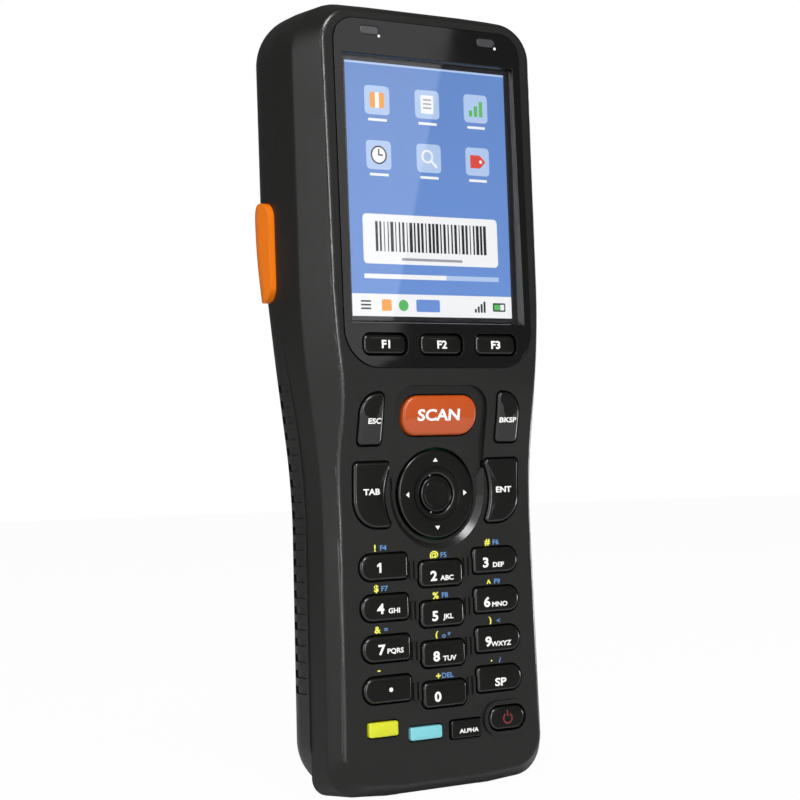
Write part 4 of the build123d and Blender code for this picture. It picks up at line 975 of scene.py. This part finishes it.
class TERMINAL_OT_stage(bpy.types.Operator):
    """Make the floor, the lights, the backdrop and the camera"""

    bl_idname = "terminal.stage"
    bl_label = "Stage"

    def execute(self, context):
        stage = context.scene.terminal_stage
        middle = (CAD_BOX[0] + CAD_BOX[1]) / 2
        make_floor()
        make_world(stage.surround)
        for name, setting, width, height, place in LIGHTS:
            area_light(name, width, height, getattr(stage, setting), aimed(place, middle))
        leaning = Matrix.Rotation(math.pi / 2, 4, "X") @ Matrix.Rotation(PANEL_LEAN, 4, "Z")
        placed = Matrix.Translation(PANEL_PLACE) @ leaning
        area_light("Reflected panel", PANEL_WIDTH, PANEL_HEIGHT, stage.panel_power, placed)
        make_camera()
        context.scene.view_settings.view_transform = "Standard"
        return {"FINISHED"}


# The housing, with the keyhole recess round the scan key and the disc

NAV_CENTRE = node_centre("nav_disc")
RECESS_HALF_WIDTH = 10.8 * MM
RECESS_TOP = 78.4 * MM
RECESS_CORNER = 4.5 * MM
RECESS_LAP = 1.0 * MM
RECESS_RIM_RADIUS = 0.45 * MM
RECESS_DEPTH = 0.9 * MM
RECESS_DEPTH_TOLERANCE = 0.35 * MM
RECESS_BACK_Y = -6.5 * MM

# How far the foot of the recess wall is drawn in, fading out over a stretch below a height
RECESS_SLOPE = 1.15 * MM
RECESS_SLOPE_TOP = 67.0 * MM
RECESS_SLOPE_FADE = 7.0 * MM
DISTANCE_STEP = 0.01 * MM
JUST_OUTSIDE = 0.25 * MM

# Middle of the power key, then (width, height, corner) of its raised rim and of its opening
POWER_CENTRE = (14.2 * MM, 12.8 * MM)
POWER_RIM = (10.6 * MM, 6.8 * MM, 3.3 * MM)
POWER_OPENING = (9.0 * MM, 5.2 * MM, 2.5 * MM)

# Faces of the front that form the rim line: their lean in degrees and their lowest height
FACE_RIM_LEANS = (17.0, 50.0)
FACE_RIM_LOW_Z = 8.0 * MM


def recess_distance(x, z):
    """How far a place lies outside the keyhole recess."""
    round_part = math.hypot(x - NAV_CENTRE.x, z - NAV_CENTRE.z) - RECESS_HALF_WIDTH
    low = NAV_CENTRE.z - RECESS_LAP
    middle = (0.0, (low + RECESS_TOP) / 2)
    shaft = outside_rounded(x, z, middle, 2 * RECESS_HALF_WIDTH, RECESS_TOP - low, RECESS_CORNER)
    return min(round_part, shaft)


def slope_recess(copy):
    """Draws in the foot of the recess wall, so that the wall slopes and catches the light."""
    tree = BVHTree.FromBMesh(copy)
    moves = []
    for vertex in copy.verts:
        x, y, z = vertex.co
        here = recess_distance(x, z)
        if abs(here) > ON_OUTLINE or y > RECESS_BACK_Y:
            continue
        right = (recess_distance(x + DISTANCE_STEP, z) - here) / DISTANCE_STEP
        up = (recess_distance(x, z + DISTANCE_STEP) - here) / DISTANCE_STEP
        outward = Vector((right, 0, up)).normalized()
        beyond = vertex.co + outward * JUST_OUTSIDE
        depth = y - surface_y(tree, beyond.x, beyond.z, y)
        if abs(depth - RECESS_DEPTH) < RECESS_DEPTH_TOLERANCE:
            share = max(0.0, min(1.0, (RECESS_SLOPE_TOP - z) / RECESS_SLOPE_FADE))
            moves.append((vertex, outward * -RECESS_SLOPE * share))
    for vertex, move in moves:
        vertex.co += move


def power_rim_distance(x, z):
    """How far a place lies outside the raised rim round the power key."""
    return outside_rounded(x, z, POWER_CENTRE, *POWER_RIM)


def power_opening_distance(x, z):
    """How far a place lies outside the opening for the power key."""
    return outside_rounded(x, z, POWER_CENTRE, *POWER_OPENING)


class TERMINAL_OT_housing(bpy.types.Operator):
    """Finish the two moulded halves of the housing and what closes them"""

    bl_idname = "terminal.housing"
    bl_label = "Housing"

    def execute(self, context):
        copy = merged("front_shell")
        mark_rims(copy, (recess_distance, power_rim_distance, power_opening_distance))
        slope_recess(copy)
        mark_rim_faces(copy, *FACE_RIM_LEANS, FACE_RIM_LOW_Z)
        sharpen(copy, SHARP_DEGREES)
        finishes = housing_plastic()
        front = new_piece("front_housing", copy, finishes, HOUSING, ["front_shell"])
        add_bevel(front, "Rounded rims", "WEIGHT", RECESS_RIM_RADIUS, 4)
        soften(front, sizes().housing_edge)
        dress("rear_shell", "rear_housing", finishes, HOUSING)
        paint("shell_gasket", rubber())
        screw_steel = metal("screw steel", (0.35, 0.35, 0.36), 0.35)
        dress("housing_screws", "case_screws", [screw_steel], HOUSING)
        return {"FINISHED"}


# The display. Its picture is drawn in millimetres from the middle of the screen, as marks
# (tone, mark, x, z, layer). A higher layer lies nearer to the front.

SCREEN_WIDTH = 36.72
SCREEN_HEIGHT = 48.96
TASK_BAR = 4.3
ICON = 5.6
ICON_COLUMNS = (-11.4, 0.0, 11.4)
ICON_ROWS = (17.2, 6.6)
CARD = (0.0, -9.6, 31.0, 9.6)
FIRST_LAYER = 0.02 * MM
LAYER_STEP = 0.015 * MM
LAYER_DEPTH = 0.01 * MM
BARCODE_COUNT = 30
BARCODE_PITCH = 0.86
BARCODE_LIFT = 0.06 * MM
SCREEN_TOP_SHARE = 0.86
SCREEN_TONES = {
    "pale": (0.45, 0.60, 0.88),
    "white": (0.93, 0.94, 0.96),
    "dark": (0.004, 0.004, 0.006),
    "orange": (0.95, 0.36, 0.04),
    "green": (0.10, 0.50, 0.12),
    "red": (0.75, 0.06, 0.04),
    "grey": (0.32, 0.34, 0.38),
}


def screen_colour(name):
    """A lit colour of the display. Only the blue behind the picture darkens to the top."""
    low = high = SCREEN_TONES.get(name)
    if name == "blue":
        low = colours().screen
        high = [channel * SCREEN_TOP_SHARE for channel in low]
    box_low, box_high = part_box("lcd_module")
    return lit(f"screen {name}", low, high, box_low.z, box_high.z)


def icon_parcel(x, z):
    return [
        ("orange", box_mark(3.2, 3.0, 0.3), x, z, 2),
        ("white", box_mark(0.9, 3.0), x, z, 3),
    ]


def icon_list(x, z):
    lines = [("grey", box_mark(1.9, 0.3), x, z + 0.9 - row * 0.8, 3) for row in range(3)]
    return [("white", box_mark(2.9, 3.6, 0.25), x, z, 2)] + lines


def icon_chart(x, z):
    heights = (1.2, 2.1, 3.1)
    return [
        ("green", box_mark(0.8, height), x - 1.2 + index * 1.2, z - 1.6 + height / 2, 2)
        for index, height in enumerate(heights)
    ]


def icon_clock(x, z):
    return [
        ("white", disc_mark(1.8, 28), x, z, 2),
        ("dark", ring_mark(1.8, 1.5), x, z, 3),
        ("dark", box_mark(0.28, 1.3), x, z + 0.5, 3),
        ("dark", box_mark(1.0, 0.28), x + 0.4, z, 3),
    ]


def icon_search(x, z):
    return [
        ("white", ring_mark(1.35, 0.95), x - 0.35, z + 0.35, 2),
        ("white", polygon_mark([(0.45, -0.75), (1.6, -1.9), (1.95, -1.55), (0.8, -0.4)]), x, z, 2),
    ]


def icon_tag(x, z):
    return [
        ("red", polygon_mark([(-1.7, -1.3), (0.6, -1.3), (1.9, 0.0), (0.6, 1.3), (-1.7, 1.3)]), x, z, 2),
        ("white", disc_mark(0.35, 14), x + 0.75, z, 3),
    ]


def desktop_marks():
    """Six icons on pale tiles, each over a short bar in place of a caption."""
    icons = (icon_parcel, icon_list, icon_chart, icon_clock, icon_search, icon_tag)
    marks = []
    for index, icon in enumerate(icons):
        x = ICON_COLUMNS[index % 3]
        z = ICON_ROWS[index // 3]
        marks.append(("pale", box_mark(ICON, ICON, 0.8), x, z, 1))
        marks += icon(x, z)
        marks.append(("white", box_mark(4.2, 0.5), x, z - ICON / 2 - 1.0, 1))
    return marks


def bar_marks():
    """The white bar along the lower edge with plain buttons, and the line along the top."""
    z = (TASK_BAR - SCREEN_HEIGHT) / 2
    right = SCREEN_WIDTH / 2
    marks = [("white", box_mark(SCREEN_WIDTH, TASK_BAR), 0.0, z, 1)]
    marks += [("dark", box_mark(2.2, 0.32), 3.0 - right, z + step, 2) for step in (-0.7, 0.0, 0.7)]
    marks.append(("orange", box_mark(2.2, 2.2, 0.3), 7.6 - right, z, 2))
    marks.append(("green", disc_mark(1.1, 20), 11.4 - right, z, 2))
    marks.append(("blue", box_mark(5.4, 2.4, 0.3), 17.0 - right, z, 2))
    for index in range(4):
        height = 0.7 + 0.5 * index
        marks.append(("dark", box_mark(0.45, height), right - 8.6 + 0.7 * index, z - 1.1 + height / 2, 2))
    marks.append(("dark", box_mark(3.0, 1.7, 0.2), right - 3.0, z, 2))
    marks.append(("white", box_mark(2.4, 1.1), right - 3.0, z, 3))
    marks.append(("green", box_mark(1.5, 1.1), right - 3.45, z, 4))
    marks.append(("pale", box_mark(SCREEN_WIDTH, 0.4), 0.0, SCREEN_HEIGHT / 2 - 0.2, 1))
    return marks


def card_marks():
    """A white card for the bar code, with a line in it and a progress bar below it."""
    x, z, width, height = CARD
    foot = z - height / 2
    return [
        ("white", box_mark(width, height, 0.8), x, z, 1),
        ("grey", box_mark(width * 0.45, 0.5), x, foot + 1.0, 2),
        ("pale", box_mark(width, 0.9), x, foot - 2.4, 1),
        ("white", box_mark(width * 0.6, 0.9), x - width * 0.2, foot - 2.4, 2),
    ]


def screen_place():
    """The middle of the display's front face."""
    middle = node_centre("lcd_module")
    return middle.x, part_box("lcd_module")[0].y, middle.z


def display_picture():
    """Everything that the display shows, as thin lit layers in front of its module."""
    middle_x, front, middle_z = screen_place()
    names = []
    copy = bmesh.new()
    whole = [("blue", box_mark(SCREEN_WIDTH, SCREEN_HEIGHT), 0.0, 0.0, 0)]
    for tone, (points, faces, _), x, z, layer in whole + desktop_marks() + card_marks() + bar_marks():
        if tone not in names:
            names.append(tone)
        y = front - FIRST_LAYER - LAYER_STEP * layer
        centre_x, centre_z = middle_x + x * MM, middle_z + z * MM
        corners = [copy.verts.new((centre_x + point.x, y, centre_z + point.y)) for point in points]
        for face in faces:
            made = copy.faces.new([corners[index] for index in face])
            made.material_index = names.index(tone)
    thicken(copy, LAYER_DEPTH)
    finishes = [screen_colour(name) for name in names]
    return new_piece("display_picture", copy, finishes, HOUSING)


def card_barcode():
    """Bars of varied width on the white card."""
    middle_x, front, middle_z = screen_place()
    x, z, _, height = CARD
    first_x = middle_x + (x - BARCODE_PITCH * (BARCODE_COUNT - 1) / 2) * MM
    values = {
        "Count": BARCODE_COUNT,
        "Start": (first_x, front - BARCODE_LIFT, middle_z + (z + 0.5) * MM),
        "Step": (BARCODE_PITCH * MM, 0.0, 0.0),
        "Size": (BARCODE_PITCH * MM, LAYER_DEPTH, height * 0.6 * MM),
        "Narrowest": 0.2,
        "Widest": 0.8,
        "Seed": 7,
        "Material": screen_colour("dark"),
    }
    row_of_bars("display_barcode", values, HOUSING)


BEZEL_EDGE = 0.4 * MM
WINDOW_EDGE = 0.15 * MM
PANEL_BACK = 0.1 * MM
PANEL_TRIM = 0.12 * MM

# Dots beside the light windows, in millimetres
LIGHT_DOT_RADIUS = 0.28
LIGHT_DOTS_X = (-11.4, 15.5)
LIGHT_DOTS_Z = 145.5


class TERMINAL_OT_display(bpy.types.Operator):
    """Make the bezel, the touch panel and the lit picture behind it"""

    bl_idname = "terminal.display"
    bl_label = "Display"

    def execute(self, context):
        gloss = [bezel_gloss()]
        bezel = dress("bezel", "display_bezel", gloss, HOUSING, BEZEL_EDGE, 4)
        dress("led_windows", "light_windows", [light_pipe()], HOUSING, WINDOW_EDGE)
        self.glass_panel()
        display_picture()
        card_barcode()
        paint("lcd_module", screen_colour("dark"))
        paint("lcd_frame", metal("frame steel", (0.6, 0.6, 0.62), 0.4))
        dots = [(disc_mark(LIGHT_DOT_RADIUS, 14), x, LIGHT_DOTS_Z) for x in LIGHT_DOTS_X]
        printed("light_marks", dots, surface_of(bezel), HOUSING, legend_white())
        return {"FINISHED"}

    def glass_panel(self):
        """The clear panel, a little thinner than its solid to leave room for the picture."""
        copy = merged("touch_panel")
        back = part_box("touch_panel")[1].y
        for vertex in copy.verts:
            if vertex.co.y > back - PANEL_BACK:
                vertex.co.y -= PANEL_TRIM
        clear = glass("panel glass", (1.0, 1.0, 1.0))
        new_piece("clear_panel", copy, [clear], HOUSING, ["touch_panel"])


# Keys with a colour of their own: the finish's name, the colour setting and the slot
SPECIAL_KEYS = {
    "key_scan": ("scan orange", "scan_key", "scan_orange"),
    "key_yellow": ("key yellow", "yellow_key", "key_yellow"),
    "key_blue": ("key blue", "blue_key", "key_blue"),
}
SMALL_KEYS = ("key_yellow", "key_blue", "key_alpha")
SMALL_KEY_EDGE = 0.3 * MM


def cap_name(node):
    return node.replace("key_", "cap_")


def key_finishes(node):
    if node not in SPECIAL_KEYS:
        return key_plastic()
    name, setting, _ = SPECIAL_KEYS[node]
    return coloured(name, getattr(colours(), setting))


class TERMINAL_OT_keys(bpy.types.Operator):
    """Sculpt the cap of every key"""

    bl_idname = "terminal.keys"
    bl_label = "Keys"

    def execute(self, context):
        for node in KEY_NODES:
            edge = SMALL_KEY_EDGE if node in SMALL_KEYS else sizes().key_edge
            copy = cap(node, edge, sizes().key_crown)
            new_piece(cap_name(node), copy, key_finishes(node), node, [node])
        return {"FINISHED"}


# The disc and its centre key: (radius, drop below the top) across each face, in millimetres

TURNED_DEPTH = 0.9
TURNED_ROOM = 0.5 * MM
DISC_RADIUS = 8.6
DISC_EDGE = 0.45
DISC_FACE = (
    (6.6, 0.06), (5.35, 0.14), (5.25, 0.3), (4.95, 0.34), (4.85, 0.12),
    (4.2, 0.1), (4.0, 0.16), (3.88, 0.3), (3.88, TURNED_DEPTH),
)
HUB_RADIUS = 3.5
HUB_EDGE = 0.3
HUB_MIDDLE = 0.02
HUB_FACE = (
    (2.95, 0.0), (2.88, 0.12), (2.7, 0.12), (2.6, 0.02), (1.8, 0.06), (0.9, 0.1), (HUB_MIDDLE, 0.11),
)


def placed_profile(points, top):
    """(radius, y) in metres for (radius, drop) in millimetres."""
    return [(radius * MM, top + drop * MM) for radius, drop in points]


def disc_profile(top):
    """(radius, y) round the section of the disc, with the fine rings about its hub."""
    outer = rounded_rim(DISC_RADIUS * MM, top, DISC_EDGE * MM)
    foot = placed_profile([(DISC_RADIUS, TURNED_DEPTH)], top)
    return foot + outer + placed_profile(DISC_FACE, top)


def hub_profile(top):
    """(radius, y) of the centre key: a rounded rim, a fine ring and a shallow dish."""
    outer = rounded_rim(HUB_RADIUS * MM, top, HUB_EDGE * MM)
    foot = placed_profile([(HUB_MIDDLE, TURNED_DEPTH), (HUB_RADIUS, TURNED_DEPTH)], top)
    return foot + outer + placed_profile(HUB_FACE, top)


ARROW_REACH = 6.55
ARROW = ((-0.55, -0.3), (0.55, -0.3), (0.0, 0.45))


def arrow_marks():
    """Four small triangles that point away from the disc's centre."""
    marks = []
    for quarter in range(4):
        turn = Matrix.Rotation(quarter * math.pi / 2, 2)
        points = [tuple(turn @ Vector((x, z + ARROW_REACH))) for x, z in ARROW]
        marks.append((polygon_mark(points), *place_on("nav_disc")))
    return marks


# Legends on the keys and small symbols on the housing, placed from a key's middle in millimetres

DIGITS = "1234567890"
DIGIT_WORDS = ("", "ABC", "DEF", "GHI", "JKL", "MNO", "PQRS", "TUV", "WXYZ", "")
NUMBER_LEGENDS = {f"key_{digit}": (digit, word) for digit, word in zip(DIGITS, DIGIT_WORDS)}
DIGIT_SHIFTS = {"left": (-1.3, -0.1), "middle": (-1.9, -0.4), "right": (-2.5, -0.4)}

# A plain 1 without a foot
DIGIT_ONE = ((0, -0.95), (0.44, -0.95), (0.44, 0.95), (0.12, 0.95), (-0.45, 0.55), (-0.45, 0.15), (0, 0.42))
SMALL_WORD_SHIFT = 3.0
KEY_DOT_RADIUS = 0.42
KEY_DOT_SHIFT = 0.4

# Text, height, stretch and shift along X and Z
WORD_LEGENDS = {
    "key_f1": ("F1", 1.55, 1.15, 0.1, 0.0),
    "key_f2": ("F2", 1.55, 1.15, 0.1, 0.0),
    "key_f3": ("F3", 1.55, 1.15, -0.05, 0.0),
    "key_scan": ("SCAN", 2.2, 1.25, -0.45, 0.05),
    "key_esc": ("ESC", 1.05, 1.25, 0.55, -0.4),
    "key_bksp": ("BKSP", 1.0, 1.35, -0.15, -0.6),
    "key_tab": ("TAB", 1.15, 1.25, -0.3, 0.65),
    "key_ent": ("ENT", 1.15, 1.25, 0.3, 0.15),
    "key_space": ("SP", 1.55, 1.3, 0.05, -0.7),
    "key_alpha": ("ALPHA", 0.8, 1.3, 0.4, -0.35),
}

# The yellow and the blue symbol above each number key
SMALL_SYMBOLS = {
    "key_1": ("!", "F4"),
    "key_2": ("@", "F5"),
    "key_3": ("#", "F6"),
    "key_4": ("$", "F7"),
    "key_5": ("%", "F8"),
    "key_6": ("^", "F9"),
    "key_7": ("&", "="),
    "key_8": ("(", "o *"),
    "key_9": (")", "<"),
    "key_dot": ("-", ""),
    "key_0": ("+", "DEL"),
    "key_space": (".", "/"),
}

# Height, weight and stretch of the yellow symbols and of the blue ones
SYMBOL_SIZES = ((1.3, 0.04, 1.15), (1.0, 0.03, 1.15))

# Shifts of the two symbols along X and their rise above the key, by column
SYMBOL_PLACES = {
    "left": ((-1.7, 0.15), 1.15),
    "middle": ((-1.2, 0.95), 1.0),
    "right": ((-1.5, 0.5), 1.0),
}
SKIRT_WIDTH = 0.75
DIGIT_WEIGHT = 0.045
DIGIT_STRETCH = 1.15
WORD_WEIGHT = 0.04
SMALL_WORD_STRETCH = 1.2

POWER_SIGN = (1.15, 0.82)
POWER_SIGN_ENDS = (math.radians(-235), math.radians(55))
POWER_SIGN_RISE = -0.1
POWER_SIGN_BAR = (0.33, 1.2)
POWER_BAR_RISE = 0.85
POWER_RED = (0.16, 0.012, 0.01)


def column_of(node):
    """The column of the keypad that a key lies in."""
    x = node_centre(node).x
    return "middle" if abs(x) < 5 * MM else ("left" if x < 0 else "right")


def number_marks(node):
    """A large digit with its small letters to the right, low on the line."""
    digit, small = NUMBER_LEGENDS[node]
    x, z = place_on(node, *DIGIT_SHIFTS[column_of(node)])
    large = letters(digit, sizes().digit_height, DIGIT_WEIGHT, DIGIT_STRETCH)
    if digit == "1":
        large = polygon_mark(DIGIT_ONE)
    marks = [(large, x, z)]
    if small:
        word = letters(small, sizes().letter_height, WORD_WEIGHT, SMALL_WORD_STRETCH)
        drop = (large[2].y - word[2].y) / MM / 2
        marks.append((word, x + SMALL_WORD_SHIFT, z - drop))
    return marks


def word_marks(node):
    """A word printed on a key."""
    text, height, stretch, *shifts = WORD_LEGENDS[node]
    return [(letters(text, height * MM, WORD_WEIGHT, stretch), *place_on(node, *shifts))]


def power_marks():
    """The open ring and the bar of the usual power sign."""
    ring = ring_mark(*POWER_SIGN, *POWER_SIGN_ENDS)
    x, z = place_on("key_power")
    return [(ring, x, z + POWER_SIGN_RISE), (box_mark(*POWER_SIGN_BAR), x, z + POWER_BAR_RISE)]


def symbol_marks(index):
    """The small symbols above the number keys: the first of each pair, or the second."""
    marks = []
    height, weight, stretch = SYMBOL_SIZES[index]
    for node, symbols in SMALL_SYMBOLS.items():
        if not symbols[index]:
            continue
        shifts, rise = SYMBOL_PLACES[column_of(node)]
        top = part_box(node)[1].z / MM - SKIRT_WIDTH
        mark = letters(symbols[index], height * MM, weight, stretch)
        marks.append((mark, place_on(node, shifts[index])[0], top + rise))
    return marks


class TERMINAL_OT_legends(bpy.types.Operator):
    """Print the legends on the keys and the small symbols on the housing"""

    bl_idname = "terminal.legends"
    bl_label = "Legends"

    def execute(self, context):
        red = print_paint("legend red", POWER_RED)
        legends = {node: number_marks(node) for node in NUMBER_LEGENDS}
        legends |= {node: word_marks(node) for node in WORD_LEGENDS}
        legends["key_dot"] = [(disc_mark(KEY_DOT_RADIUS), *place_on("key_dot", KEY_DOT_SHIFT))]
        legends["key_power"] = power_marks()
        for node, marks in legends.items():
            tree = surface_of(bpy.data.objects[cap_name(node)])
            material = red if node == "key_power" else legend_white()
            printed(node.replace("key_", "legend_"), marks, tree, node, material)
        front = surface_of(bpy.data.objects["front_housing"])
        yellow = print_paint("yellow print", colours().yellow_print)
        blue = print_paint("blue print", colours().blue_print)
        printed("yellow_symbols", symbol_marks(0), front, HOUSING, yellow)
        printed("blue_symbols", symbol_marks(1), front, HOUSING, blue)
        return {"FINISHED"}


class TERMINAL_OT_navigation(bpy.types.Operator):
    """Turn the stepped navigation disc and its centre key"""

    bl_idname = "terminal.navigation"
    bl_label = "Navigation disc"

    def execute(self, context):
        disc = self.turned("nav_disc", "navigation_disc", disc_profile)
        self.turned("nav_center", "navigation_centre", hub_profile)
        tree = surface_of(disc)
        printed("navigation_arrows", arrow_marks(), tree, "nav_disc", legend_white())
        paint("nav_pivot", metal("pivot steel", (0.5, 0.5, 0.52), 0.3))
        return {"FINISHED"}

    def turned(self, node, name, profile):
        """A solid with its front lowered and a turned form in its place."""
        copy = merged(node)
        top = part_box(node)[0].y
        lowered(copy, top, TURNED_ROOM)
        lathed(copy, (NAV_CENTRE.x, NAV_CENTRE.z), profile(top))
        bmesh.ops.recalc_face_normals(copy, faces=copy.faces)
        mark_rim_faces(copy, CAP_RIM_LEAN)
        sharpen(copy, TURNED_SHARP_DEGREES)
        return new_piece(name, copy, key_plastic(), node, [node])


BUTTON_EDGE = 0.4 * MM


class TERMINAL_OT_sides(bpy.types.Operator):
    """Finish the side buttons, the port and its cover"""

    bl_idname = "terminal.sides"
    bl_label = "Sides"

    def execute(self, context):
        finishes = coloured("button orange", colours().side_button)
        for side in ("left", "right"):
            node = f"side_button_{side}"
            dress(node, f"scan_button_{side}", finishes, node, BUTTON_EDGE)
        dress("port_cover", "port_flap", [rubber()], "port_cover")
        paint("usb_port", metal("port shell", (0.55, 0.55, 0.57), 0.3))
        return {"FINISHED"}


class TERMINAL_OT_back(bpy.types.Operator):
    """Finish the battery, its latch, the strap bar, the scan window and the dock connector"""

    bl_idname = "terminal.back"
    bl_label = "Back"

    def execute(self, context):
        finishes = housing_plastic()
        dress("battery_pack", "battery_case", finishes, HOUSING)
        dress("battery_latch", "latch_slider", finishes, "battery_latch")
        dress("scan_frame", "scan_window_frame", finishes, HOUSING)
        paint("scan_window", glass("scan glass", (0.25, 0.01, 0.01)))
        paint("strap_bar", metal("bar steel", (0.55, 0.55, 0.56), 0.3))
        paint("dock_connector", inner_plastic())
        return {"FINISHED"}


class TERMINAL_OT_inside(bpy.types.Operator):
    """Give the hidden boards and modules their materials"""

    bl_idname = "terminal.inside"
    bl_label = "Inside"

    def execute(self, context):
        board = moulded("circuit board", (0.01, 0.12, 0.04), 0.3, 0.45, 0.004 * MM)
        steel = metal("plain steel", (0.55, 0.55, 0.57), 0.35)
        for node in ("keypad_board", "main_board"):
            paint(node, board)
        for node in ("shield_can", "card_socket", "dome_switches", "vibration_motor"):
            paint(node, steel)
        for node in ("antenna", "scan_engine", "speaker", "side_switches"):
            paint(node, inner_plastic())
        paint("keypad_sheet", rubber())
        paint("battery_contacts", metal("contact brass", (0.8, 0.55, 0.2), 0.3))
        return {"FINISHED"}


class TERMINAL_PT_panel(bpy.types.Panel):
    """Lists the steps that dress the terminal"""

    bl_idname = "TERMINAL_PT_panel"
    bl_label = "Data terminal"
    bl_space_type = "VIEW_3D"
    bl_region_type = "UI"
    bl_category = "Terminal"

    def draw(self, context):
        for name in PROPERTY_GROUPS:
            group = getattr(context.scene, name)
            box = self.layout.box()
            for setting in group.__annotations__:
                box.prop(group, setting)
        for operator in OPERATORS:
            self.layout.operator(operator.bl_idname)


OPERATORS = (
    TERMINAL_OT_stage,
    TERMINAL_OT_housing,
    TERMINAL_OT_display,
    TERMINAL_OT_keys,
    TERMINAL_OT_legends,
    TERMINAL_OT_navigation,
    TERMINAL_OT_sides,
    TERMINAL_OT_back,
    TERMINAL_OT_inside,
)
PROPERTY_GROUPS = {
    "terminal_sizes": TerminalSizes,
    "terminal_colours": TerminalColours,
    "terminal_stage": TerminalStage,
}


def register():
    for name, group in PROPERTY_GROUPS.items():
        bpy.utils.register_class(group)
        setattr(bpy.types.Scene, name, bpy.props.PointerProperty(type=group))
    for operator in OPERATORS:
        bpy.utils.register_class(operator)
    bpy.utils.register_class(TERMINAL_PT_panel)


def unregister():
    bpy.utils.unregister_class(TERMINAL_PT_panel)
    for operator in reversed(OPERATORS):
        bpy.utils.unregister_class(operator)
    for name, group in PROPERTY_GROUPS.items():
        delattr(bpy.types.Scene, name)
        bpy.utils.unregister_class(group)


def main():
    register()
    for operator in OPERATORS:
        group, name = operator.bl_idname.split(".")
        getattr(getattr(bpy.ops, group), name)()


if __name__ == "__main__":
    main()
